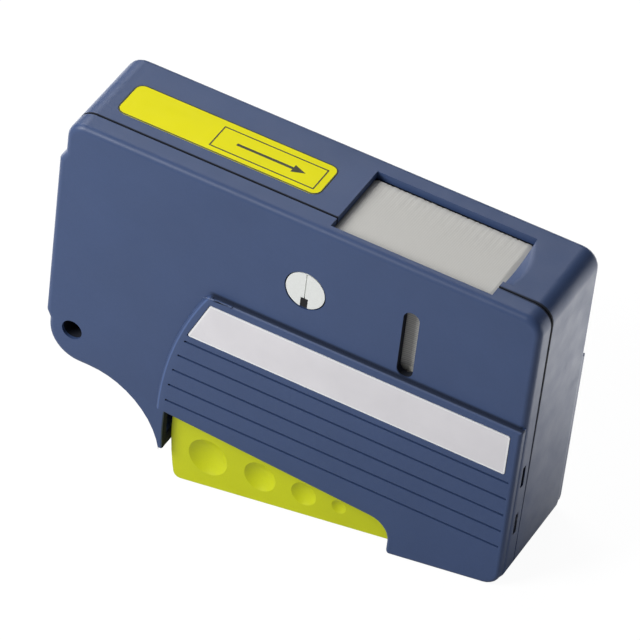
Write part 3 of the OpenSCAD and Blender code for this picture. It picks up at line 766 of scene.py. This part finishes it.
def clear_selection() -> None:
    """Deselects every object, in object mode."""
    if bpy.context.active_object and bpy.context.active_object.mode != "OBJECT":
        bpy.ops.object.mode_set(mode="OBJECT")
    bpy.ops.object.select_all(action="DESELECT")


def take(piece: Piece, mode: str = "OBJECT") -> None:
    """Makes a piece the active one and the only one selected, in a mode.

    Args:
        piece: the piece.
        mode: OBJECT or EDIT.
    """
    clear_selection()
    piece.select_set(True)
    bpy.context.view_layer.objects.active = piece
    bpy.ops.object.mode_set(mode=mode)


def choose(piece: Piece, kind: str, test: Test) -> None:
    """Selects, in edit mode, the verts, edges or faces of a piece that pass a test, and no others.

    Args:
        piece: the piece.
        kind: verts, edges or faces.
        test: the test, which takes one of them.
    """
    bpy.context.tool_settings.mesh_select_mode = [kind == name for name in ("verts", "edges", "faces")]
    bpy.ops.mesh.select_all(action="DESELECT")
    mesh = bmesh.from_edit_mesh(piece.data)
    for part in getattr(mesh, kind):
        part.select_set(test(part))
    bmesh.update_edit_mesh(piece.data)


def add_modifier(piece: Piece, kind: str, **settings: object) -> None:
    """Adds a modifier of a kind to a piece and applies it.

    Args:
        piece: the piece, selected on its own.
        kind: the modifier's type.
        settings: its settings.
    """
    modifier = piece.modifiers.new(kind.lower(), kind)
    for key, value in settings.items():
        setattr(modifier, key, value)
    bpy.context.view_layer.objects.active = piece
    bpy.ops.object.modifier_apply(modifier=modifier.name)


def fill_slots(piece: Piece, materials: Materials) -> None:
    """Fills a piece's material slots in order, which puts every face on the first.

    Args:
        piece: the piece.
        materials: its materials.
    """
    piece.data.materials.clear()
    for material in materials:
        piece.data.materials.append(material)


def dress(piece: Piece, body: Body, slot: Slot, materials: Materials, smooth: float = 30.0) -> Piece:
    """Gives a piece its shading, materials and body.

    Args:
        piece: the piece.
        body: the body it rides on.
        slot: the record's material slot; not used.
        materials: its materials, which fill its slots in order; none where the piece has them already.
        smooth: the angle in degrees below which edges are shaded smooth.

    Returns:
        The piece.
    """
    take(piece)
    bpy.ops.object.shade_smooth_by_angle(angle=math.radians(smooth))
    if materials:
        fill_slots(piece, materials)
    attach(piece, body.value)
    LOG.info("%s: %d faces on %s", piece.name, len(piece.data.polygons), body.value)
    return piece


def cad_copy(node: str, name: str) -> Piece:
    """A CAD node's shape as a new piece, with its loose triangles merged.

    Args:
        node: the CAD node.
        name: the new piece's name.

    Returns:
        The new piece, which replaces the node.
    """
    piece = frame["nodes"][node].copy()
    piece.data = piece.data.copy()
    piece.name = piece.data.name = name
    bpy.context.scene.collection.objects.link(piece)
    piece.parent = None
    piece.matrix_world = Matrix.Identity(4)
    take(piece, "EDIT")
    bpy.context.tool_settings.mesh_select_mode = (True, False, False)
    bpy.ops.mesh.select_all(action="SELECT")
    bpy.ops.mesh.customdata_custom_splitnormals_clear()
    bpy.ops.mesh.remove_doubles(threshold=CAD_MERGE)
    bpy.ops.mesh.dissolve_limited(angle_limit=CAD_FLAT)
    bpy.ops.object.mode_set(mode="OBJECT")
    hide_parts(node)
    return piece


@dataclass(frozen=True)
class MouldedSkin:
    """A moulded CAD piece with its sharp edges broken, the bevels smoother and paler as a painted highlight.
    """

    node: str
    name: str
    body: Body
    slot: Slot
    finish: MouldedPlastic
    paler: float
    edge: float = 0.00018
    smooth: float = 32.0

    def make(self) -> Piece:
        """Makes the piece.

        Returns:
            The piece.
        """
        piece = cad_copy(self.node, self.name)
        # The bevels take the paler copy of the plastic: a painted highlight along the edges
        fill_slots(piece, [self.finish.build(), self.finish.edge_highlight(self.paler).build()])
        add_modifier(
            piece, "BEVEL", width=self.edge, segments=2, limit_method="ANGLE", miter_outer="MITER_ARC",
            angle_limit=math.radians(38), use_clamp_overlap=True, material=1, harden_normals=False,
        )
        dress(piece, self.body, self.slot, [], self.smooth)
        add_modifier(piece, "WEIGHTED_NORMAL", keep_sharp=True, weight=80)
        return piece


# Sub-assemblies


@dataclass(frozen=True)
class FingerDishes:
    """The dishes in the lever's front face, widened a little from their CAD size."""

    places: tuple[Place, ...] = (
        (0.869, 4.7, 0.402), (0.693, 3.8, 0.339), (0.545, 3.0, 0.296), (0.427, 1.75, 0.249),
    )
    lever_r: float = 83.8
    drop: float = 18.9
    face: float = 2.9
    wider: float = 1.17
    deeper: float = 1.2
    slack: float = 0.05

    def inside(self, point: Vector, at: Spot, radius: float) -> bool:
        """Whether a point belongs to the dish of a radius at a place."""
        return off(point, at) < radius + self.slack and point.y < self.face + radius * 0.5

    def widen(self, lever: Piece) -> None:
        """Widens the dishes of the lever's mesh.

        Args:
            lever: the lever's piece.
        """
        take(lever, "EDIT")
        back = CASE.matrix().inverted()
        for across, radius, down in self.places:
            x, z = CASE.pivot[0] - self.lever_r * across, CASE.pivot[1] - self.drop * down
            choose(lever, "verts", lambda point: self.inside(back @ point.co, (x, z), radius))
            middle = CASE.matrix() @ Vector((x, self.face, z))
            bpy.ops.transform.resize(value=(self.wider, self.deeper, self.wider), center_override=middle)
        bpy.ops.object.mode_set(mode="OBJECT")


@dataclass
class ArrowLabel:
    """The film on the top face, with its printed outline, frame and arrow of travel."""

    low: Spot = (7.55, 10.1)
    high: Spot = (63.85, 22.4)
    corner: float = 2.4
    top: float = 0.05
    ink: float = 0.03
    outline_line: float = 0.3
    frame_low: Spot = (32.8, 11.8)
    frame_high: Spot = (61.75, 20.15)
    frame_corner: float = 0.1
    frame_line: float = 0.35
    arrow_left: float = 38.5
    arrow_right: float = 57.4
    arrow_y: float = 15.85
    shaft: float = 0.8
    head_length: float = 3.4
    head_width: float = 2.8
    tip: float = 0.02

    def ring(self, name: str, low: Spot, high: Spot, line: float, corner: float) -> Workpiece:
        """A printed line that runs round a rectangle.

        Args:
            name: the piece's name.
            low: its left front corner.
            high: its right rear corner.
            line: the line's width.
            corner: the radius of its corners.

        Returns:
            The line, ready to settle.
        """
        work = Workpiece.plate(name, (*low, self.top), (*high, self.top))
        work.points(lambda point: True)
        bpy.ops.mesh.bevel(offset=corner, segments=6 if corner > 1 else 1, affect="VERTICES")
        work.faces(lambda middle, normal: True)
        bpy.ops.mesh.inset(thickness=line)
        bpy.ops.mesh.delete(type="FACE")
        work.faces(lambda middle, normal: True)
        work.pull((0.0, 0.0, self.ink))
        return work

    def arrow(self) -> Workpiece:
        """The arrow: a shaft with a filled head.

        Returns:
            The arrow, ready to settle.
        """
        neck = self.arrow_right - self.head_length
        half = self.shaft / 2
        low = (self.arrow_left, self.arrow_y - half, self.top)
        work = Workpiece.plate("label_arrow", low, (neck, self.arrow_y + half, self.top))
        work.edges(lambda a, b: min(a.x, b.x) > neck - TOUCH)
        work.pull_edge((0.0, 0.0, 0.0))
        bpy.ops.transform.resize(value=(1.0, self.head_width / self.shaft, 1.0))
        work.pull_edge((self.head_length, 0.0, 0.0))
        bpy.ops.transform.resize(value=(1.0, self.tip, 1.0))
        work.faces(lambda middle, normal: True)
        work.pull((0.0, 0.0, self.ink))
        return work

    def make(self) -> None:
        """Makes the printed lines and dresses the film."""
        ink = LABEL_INK.build()
        outline = self.ring("label_outline", self.low, self.high, self.outline_line, self.corner)
        outline.settle(Body.CASE, Slot.LABEL, [ink])
        border = self.ring("label_frame", self.frame_low, self.frame_high, self.frame_line, self.frame_corner)
        border.settle(Body.CASE, Slot.LABEL, [ink])
        self.arrow().settle(Body.CASE, Slot.LABEL, [ink])
        dress_node("arrow_label", LABEL_YELLOW.build())


@dataclass
class PanelRim:
    """The left rim of a grip panel, from its own arc to the strip and the grooves."""

    name: str
    face: float
    root: float
    arc: Spot = (123.0, -77.1)
    arc_r: float = 90.9
    guard_r: float = 84.9
    margin: float = 0.62
    round_r: float = 1.1
    film: bool = True
    corner: tuple[Spot, ...] = (
        (-34.43, 45.1), (-34.6, 44.1), (-35.05, 43.2), (-35.7, 42.5), (-36.65, 41.75),
    )
    strip_top: Spot = (-36.79, 44.08)
    strip_bottom: Spot = (-49.5, 38.68)
    low: float = -77.4
    step: float = 1.4
    groove_top: float = -51.7
    groove_pitch: float = 5.4
    groove_count: int = 5
    groove_half: float = 0.3
    groove_start: float = 2.5
    groove_lip: float = 0.01

    def left(self, z: float) -> float:
        """The rim's left side at a height."""
        return self.arc[0] - math.sqrt(self.arc_r**2 - (z - self.arc[1]) ** 2)

    def right(self, z: float) -> float:
        """The rim's right side where no film covers the panel's edge, at a height."""
        return CASE.pivot[0] - math.sqrt(self.guard_r**2 - (z - CASE.pivot[1]) ** 2) + self.margin

    def levels(self) -> list[tuple[float, float, float]]:
        """Height, left side and right side of each row, from the top down.

        Returns:
            The rows.
        """
        (z0, x0), (z1, x1) = self.strip_top, self.strip_bottom
        beside = math.ceil((z0 - z1) / self.step)
        below = math.ceil((z1 - self.low) / self.step)
        rows = [(z, x, self.right(z)) for z, x in self.corner]
        for k in range(beside + 1):
            z = z0 + (z1 - z0) * k / beside
            edge = x0 + (x1 - x0) * k / beside
            rows.append((z, self.left(z), edge if self.film else self.right(z)))
        start = z1 - 0.1
        heights = [start + (self.low - start) * k / below for k in range(below + 1)]
        grooves = [self.groove_top - self.groove_pitch * k for k in range(self.groove_count)]
        for z in heights:
            if min(abs(z - groove) for groove in grooves) > 2 * self.groove_half:
                rows.append((z, self.left(z), self.right(z)))
        for groove in grooves:
            for side in (1, -1):
                z = groove + side * self.groove_half
                rows.append((z, self.left(z), self.left(z) + self.groove_start))
                z += side * self.groove_lip
                rows.append((z, self.left(z), self.right(z)))
        return sorted(rows, reverse=True)

    def make(self) -> None:
        """Makes the rim, drawn level by level, thickened and rounded on its left side."""
        rows = self.levels()
        top, left, right = rows[0]
        clear_selection()
        place = ((left + right) / 2, self.face, top + 0.5)
        bpy.ops.mesh.primitive_plane_add(size=1.0, location=place, rotation=(math.pi / 2, 0.0, 0.0))
        bpy.context.active_object.scale = (right - left, 1.0, 1.0)
        work = Workpiece(self.name)
        work.points(lambda point: point.z > top + 0.5)
        bpy.ops.mesh.delete(type="VERT")
        bpy.ops.mesh.select_all(action="SELECT")
        for here, there in zip(rows, rows[1:]):
            middle = (there[1] + there[2] - here[1] - here[2]) / 2
            work.pull_edge((middle, 0.0, there[0] - here[0]))
            bpy.ops.transform.resize(value=((there[2] - there[1]) / (here[2] - here[1]), 1.0, 1.0))
        bpy.ops.mesh.select_all(action="SELECT")
        work.pull((0.0, self.root - self.face, 0.0))
        work.edges(lambda a, b: self.outer(a) and self.outer(b))
        bpy.ops.mesh.bevel(offset=self.round_r, segments=4, affect="EDGES", clamp_overlap=False)
        work.settle(Body.CASE, Slot.CASE, [CASE_BLUE.build()], 40.0)

    def outer(self, point: Vector) -> bool:
        """Whether a point is on the front edge of the top or left side.

        Args:
            point: the point.

        Returns:
            True on that edge.
        """
        if abs(point.y - self.face) > TOUCH:
            return False
        top = point.z > self.corner[0][0] - TOUCH
        side = min(abs(point.x - row[1]) + abs(point.z - row[0]) for row in self.levels()) < 2 * TOUCH
        return top or side


@dataclass
class NameFilm:
    """The film on the grip panel, with its pale rim and nothing printed on it."""

    rim: float = 0.45

    def make(self) -> None:
        """Makes the film from the CAD node, its rim set off by an inset."""
        piece = cad_copy("name_strip", "name_film")
        fill_slots(piece, [STRIP_SILVER.build(), STRIP_RIM.build()])
        take(piece, "EDIT")
        choose(piece, "faces", lambda face: face.normal.y < -FACING)
        bpy.ops.mesh.inset(thickness=self.rim * CASE.scale)
        inner = bmesh.from_edit_mesh(piece.data)
        for face in inner.faces:
            face.material_index = 0 if face.select else 1
        bmesh.update_edit_mesh(piece.data)
        dress(piece, Body.CASE, Slot.STRIP, [])


@dataclass
class DiscNotchShade:
    """A dark block on the floor of the indicator disc's notch: painted shade, standing in for the shadow in
    the notch.
    """

    half_width: float = 0.96
    low: float = -5.18
    high: float = -2.44
    front: float = 0.15
    depth: float = 0.8
    corner: float = 0.25
    rim: float = 0.12
    sink: float = 0.08

    def make(self) -> None:
        """Makes the painted-shade block on the notch's floor."""
        x, z = CASE.joint("take_up_turn")
        low = (x - self.half_width, self.front, z + self.low)
        high = (x + self.half_width, self.front + self.depth, z + self.high)
        work = Workpiece.block("disc_mark", low, high)
        work.edges(lambda a, b: abs(a.y - b.y) > TOUCH)
        bpy.ops.mesh.bevel(offset=self.corner, segments=3, affect="EDGES")
        work.end(-1)
        bpy.ops.mesh.inset(thickness=self.rim)
        bpy.ops.transform.translate(value=(0.0, self.sink, 0.0))
        work.settle(Body.TAKE_UP, Slot.WHITE, [NOTCH_PAINTED_SHADE.build()])


@dataclass
class Tube:
    """A ring round a joint's axis, whose ends are inset in turns that lie a step in and out."""

    name: str
    node: str
    joint: str
    outer: float
    inner: float
    body: Body
    span: Spot = (3.0, 25.8)
    turns: int = 1
    step: float = 0.1

    def shape(self) -> Workpiece:
        """Shapes the ring from a drum, ready to settle.

        Returns:
            The ring.
        """
        at = CASE.joint(self.joint)
        work = Workpiece.drum(self.name, at, self.outer, self.span)
        ring = (self.outer - self.inner) / self.turns
        for side in (-1, 1):
            work.end(side)
            for turn in range(self.turns):
                bpy.ops.mesh.inset(thickness=ring)
                if turn < self.turns - 1:
                    way = side * self.step * (-1) ** (turn + 1)
                    bpy.ops.transform.translate(value=(0.0, way, 0.0))
        work.faces(lambda middle, normal: abs(normal.y) > FACING and off(middle, at) < self.inner / 2)
        bpy.ops.mesh.delete(type="FACE")
        work.edges(lambda a, b: max(off(a, at), off(b, at)) < self.inner + ring / 3)
        bpy.ops.mesh.bridge_edge_loops()
        return work


@dataclass
class ClothRoll(Tube):
    """Cloth wound on a reel, whose ends show the turns."""

    def make(self) -> None:
        """Makes the roll."""
        wound = WoundCloth(self.name + "_turns", CLOTH_GREY.colour, CASE.joint(self.joint))
        piece = self.shape().settle(self.body, Slot.CLOTH, [wound.build()], 40.0)
        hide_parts(self.node)


@dataclass
class BrakeWasher(Tube):
    """The felt washer that brakes the supply reel."""

    span: Spot = (2.22, 2.88)
    edge: float = 0.2

    def make(self) -> None:
        """Makes the washer."""
        work = self.shape()
        work.modify("BEVEL", width=self.edge, segments=3, limit_method="ANGLE", angle_limit=math.radians(60))
        piece = work.settle(self.body, Slot.FELT, [FELT_GREY.build()], 60.0)
        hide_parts(self.node)


@dataclass
class WipingPad:
    """The foam pad that backs the cloth in the window."""

    low: Place = (73.0, 3.1, -4.1)
    high: Place = (113.8, 25.7, -2.14)
    edge: float = 0.7

    def make(self) -> None:
        """Makes the pad."""
        work = Workpiece.block("foam_pad", self.low, self.high)
        work.edges(lambda a, b: True)
        bpy.ops.mesh.bevel(offset=self.edge, segments=4, affect="EDGES")
        work.modify("BEVEL", width=0.05, segments=1, limit_method="ANGLE", angle_limit=math.radians(50))
        piece = work.settle(Body.CASE, Slot.FOAM, [FOAM_BLACK.build()], 60.0)
        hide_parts("wiping_pad")


@dataclass
class CleaningCloth:
    """The cloth on its way from the supply roll over rollers and pad to the take-up roll."""

    span: Spot = (3.0, 25.8)
    thickness: float = 0.3
    gap: float = 0.3
    roller: float = 2.6
    supply_roll: float = 25.6
    take_up_roll: float = 8.0
    pad_left: float = 72.95
    pad_right: float = 113.85
    pad_z: float = -1.95
    right_wrap: Spot = (0.0, 58.0)
    left_wrap: Spot = (120.0, 159.0)
    take_up_meet: float = 153.0
    wrap_steps: int = 6
    pad_steps: int = 24

    def around(self, joint: str, radius: float, span: Spot) -> list[Spot]:
        """Points on an arc round a joint's axis.

        Args:
            joint: the joint.
            radius: the radius of what the cloth rounds.
            span: first and last angle, in degrees.

        Returns:
            The points, as x and z.
        """
        x, z = CASE.joint(joint)
        out = radius + self.gap + self.thickness / 2
        turns = [span[0] + (span[1] - span[0]) * k / self.wrap_steps for k in range(self.wrap_steps + 1)]
        return [(x + out * math.cos(math.radians(a)), z + out * math.sin(math.radians(a))) for a in turns]

    def over_pad(self) -> list[Spot]:
        """Points over the pad, where the cloth lies flat between its two rounded edges.

        Returns:
            The points, as x and z.
        """
        across = self.pad_left - self.pad_right
        steps = self.pad_steps
        return [(self.pad_right + across * k / steps, self.pad_z) for k in range(steps + 1)]

    def route(self) -> list[Spot]:
        """The whole way of the cloth's middle, from the supply roll to the take-up roll.

        Returns:
            Its points, as x and z.
        """
        start = self.around("supply_turn", self.supply_roll, (0.0, 0.0))[:1]
        end = self.around("take_up_turn", self.take_up_roll, (self.take_up_meet, 0.0))[:1]
        right = self.around("right_roller_turn", self.roller, self.right_wrap)
        left = self.around("left_roller_turn", self.roller, self.left_wrap)
        return start + right + self.over_pad() + left + end

    def make(self) -> None:
        """Makes the cloth as one sheet, drawn edge by edge along its way."""
        route = self.route()
        first = route[0]
        width = self.span[1] - self.span[0]
        clear_selection()
        bpy.ops.mesh.primitive_plane_add(size=1.0, location=(first[0], sum(self.span) / 2, first[1]))
        bpy.context.active_object.scale = (1.0, width, 1.0)
        work = Workpiece("wiping_cloth")
        work.edges(lambda a, b: max(a.x, b.x) < first[0])
        bpy.ops.mesh.delete(type="EDGE")
        work.points(lambda point: point.x > first[0])
        bpy.ops.transform.translate(value=(-0.5, 0.0, 0.0))
        bpy.ops.mesh.select_all(action="SELECT")
        for here, there in zip(route, route[1:]):
            work.pull_edge((there[0] - here[0], 0.0, there[1] - here[1]))
        bpy.ops.mesh.select_all(action="SELECT")
        bpy.ops.mesh.subdivide(number_cuts=3)
        work.modify("SOLIDIFY", thickness=self.thickness, offset=0.0)
        length = sum(math.dist(a, b) for a, b in zip(route, route[1:]))
        piece = work.settle(Body.CASE, Slot.CLOTH, [CLOTH_GREY.build()], 45.0)
        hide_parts("cleaning_cloth")
        width * CASE.scale
        length * CASE.scale


def dress_node(node: str, material: Material) -> None:
    """Gives a CAD node that stays a material."""
    fill_slots(frame["nodes"][node], [material])
    LOG.info("%s: dressed", node)


@dataclass
class ReturnSpring:
    """The coil under the lever, which on the real cleaner shortens towards its seat as the lever is squeezed.
    """

    stroke: float = 13.0

    def make(self) -> None:
        """Makes the spring from the CAD node and works out the share of its length that the lever's swing
        leaves.
        """
        piece = cad_copy("lever_return_spring", "return_spring")
        corners = [Vector(corner) for corner in piece.bound_box]
        middle = sum(corners, Vector()) / len(corners)
        foot = Vector((middle.x, middle.y, min(corner.z for corner in corners)))
        seat = Vector((middle.x, middle.y, max(corner.z for corner in corners)))
        pivot = Vector(joint_place("lever_swing"))
        turn = Matrix.Rotation(math.radians(self.stroke), 3, "Y")
        travel = turn @ (foot - pivot) - (foot - pivot)
        travel.y = 0.0
        along = travel.normalized()
        keep = 1 - travel.length / abs((seat - foot).dot(along))
        dress(piece, Body.CASE, Slot.STEEL, [STEEL.build()], 40.0)
        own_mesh(piece)


@dataclass
class Works:
    """The gears, reels, rollers, pins and pawls inside, which keep their CAD shapes."""

    acetal: tuple[str, ...] = (
        "drive_gear", "take_up_spool", "supply_spool", "guide_roller_left", "guide_roller_right",
    )
    dark: tuple[str, ...] = ("drive_pawl", "backstop_pawl", "pad_holder")
    steel: tuple[str, ...] = ("lever_pivot_pin", "take_up_shaft", "guide_pin_left", "guide_pin_right")

    def make(self) -> None:
        """Dresses the nodes."""
        for nodes, finish in ((self.acetal, GEAR_ACETAL), (self.dark, DARK_PLASTIC), (self.steel, STEEL)):
            material = finish.build()
            for node in nodes:
                dress_node(node, material)


@dataclass
class Studio:
    """Camera, lamps, floor and world."""

    target: Place = (-0.04506, 0.00904, 0.04542)
    azimuth: float = 30.723
    elevation: float = 37.542
    roll: float = -4.035
    distance: float = 1.45
    lens: float = 328.96
    floor_size: float = 8.0
    fill: float = 0.16
    mirrored_fill: float = 0.1
    paper_glow: float = 1.11
    paper_glare: float = 2.4
    paper_share: float = 0.86
    paper_reach: Spot = (-0.035, 0.062)
    lamps: tuple[tuple[str, Place, float, float], ...] = (
        ("key", (-0.4, -0.42, 0.48), 0.32, 4.0),
        ("back", (-0.85, 0.7, 1.2), 0.8, 8.5),
        ("sheen", (-0.13, 0.95, 1.15), 0.3, 1.65),
    )

    def camera(self) -> None:
        """Sets up the photograph's camera."""
        turn = (
            Matrix.Rotation(math.radians(self.azimuth), 4, "Z")
            @ Matrix.Rotation(math.radians(90 - self.elevation), 4, "X")
            @ Matrix.Rotation(math.radians(self.roll), 4, "Z")
        )
        camera = bpy.data.cameras.new("camera")
        camera.lens = self.lens
        camera.sensor_width = 36.0
        camera.clip_start = 0.01
        eye = bpy.data.objects.new("camera", camera)
        back = Matrix.Translation((0.0, 0.0, self.distance))
        eye.matrix_world = Matrix.Translation(self.target) @ turn @ back
        bpy.context.scene.collection.objects.link(eye)
        bpy.context.scene.camera = eye

    def light(self) -> None:
        """Hangs the lamps, each facing the cleaner."""
        for name, at, size, power in self.lamps:
            lamp = bpy.data.lights.new(name, "AREA")
            lamp.shape = "SQUARE"
            lamp.size = size
            lamp.energy = power
            body = bpy.data.objects.new(name, lamp)
            facing = (Vector(self.target) - Vector(at)).to_track_quat("-Z", "Y")
            body.matrix_world = Matrix.Translation(at) @ facing.to_matrix().to_4x4()
            bpy.context.scene.collection.objects.link(body)

    def floor(self) -> None:
        """Lays the pale floor, which shows white to the camera, keeps the shadow and glows behind the cleaner
        in reflections only, a painted reflection that gives the right wall its glare.
        """
        clear_selection()
        bpy.ops.mesh.primitive_plane_add(size=self.floor_size)
        floor = bpy.context.active_object
        floor.name = "floor"
        graph = Graph("floor_paper")
        grain = graph.noise(300.0, 3.0)
        graph.set("Base Color", graph.blend(grain.band(0.3, 0.7), (0.58,) * 3, (0.62,) * 3))
        graph.set("Roughness", 0.9)
        path = graph.node("LightPath", {})
        seen = Value(graph, path.outputs["Is Camera Ray"])
        _, back, _ = graph.parts(graph.place())
        # Painted reflection: glossy rays see the floor glow in a band behind the cleaner
        mirrored = Value(graph, path.outputs["Is Glossy Ray"]) * back.band(*self.paper_reach)
        strength = seen * self.paper_glow + mirrored * self.paper_glare
        glow = graph.node("Emission", {}, (1.0,) * 4, strength)
        lit = seen * self.paper_share + mirrored
        graph.show(graph.node("MixShader", {}, lit, graph.shader.outputs[0], glow.outputs[0]))
        fill_slots(floor, [graph.owner])

    def world(self) -> None:
        """A white surround for the camera, a dimmer one for the light and a dimmer still one for reflections.
        """
        graph = Graph("surround", world=True)
        path = graph.node("LightPath", {})
        seen, mirrored = path.outputs["Is Camera Ray"], path.outputs["Is Glossy Ray"]
        level = graph.node("MapRange", {}, mirrored, To_Min=self.fill, To_Max=self.mirrored_fill)
        dim = graph.node("Background", {}, (0.9, 0.93, 1.0, 1.0), level.outputs[0])
        graph.set("Color", (1.0,) * 4)
        graph.show(graph.node("MixShader", {}, seen, dim.outputs[0], graph.shader.outputs[0]))
        bpy.context.scene.world = graph.owner

    def make(self) -> None:
        """Sets the whole stage."""
        self.camera()
        self.light()
        self.floor()
        self.world()
        bpy.context.scene.view_settings.view_transform = "Standard"


def main() -> None:
    """Builds the stage and every sub-assembly."""
    logging.basicConfig(level=logging.INFO, format="%(name)s: %(message)s")
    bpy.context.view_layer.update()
    Studio().make()
    for node, name in (("front_shell", "front_case"), ("rear_shell", "rear_case")):
        MouldedSkin(node, name, Body.CASE, Slot.CASE, CASE_BLUE, 1.12).make()
    lever = ("lever", "squeeze_lever", Body.LEVER, Slot.LEVER, LEVER_GREEN)
    FingerDishes().widen(MouldedSkin(*lever, 1.08, smooth=20.0).make())
    disc = ("indicator_disc", "turning_disc", Body.TAKE_UP, Slot.WHITE, WHITE_ACETAL)
    MouldedSkin(*disc, 1.05, 0.00015).make()
    DiscNotchShade().make()
    PanelRim("front_panel_rim", -1.504, 0.2).make()
    PanelRim("rear_panel_rim", 33.504, 31.8, film=False).make()
    NameFilm().make()
    ArrowLabel().make()
    ClothRoll("supply_cloth", "supply_roll", "supply_turn", 25.6, 9.0, Body.SUPPLY, turns=28).make()
    ClothRoll("take_up_cloth", "take_up_roll", "take_up_turn", 8.0, 5.6, Body.TAKE_UP, turns=4).make()
    BrakeWasher("felt_washer", "supply_brake_washer", "supply_turn", 7.9, 4.2, Body.CASE).make()
    WipingPad().make()
    CleaningCloth().make()
    ReturnSpring().make()
    Works().make()


if __name__ == "__main__":
    main()
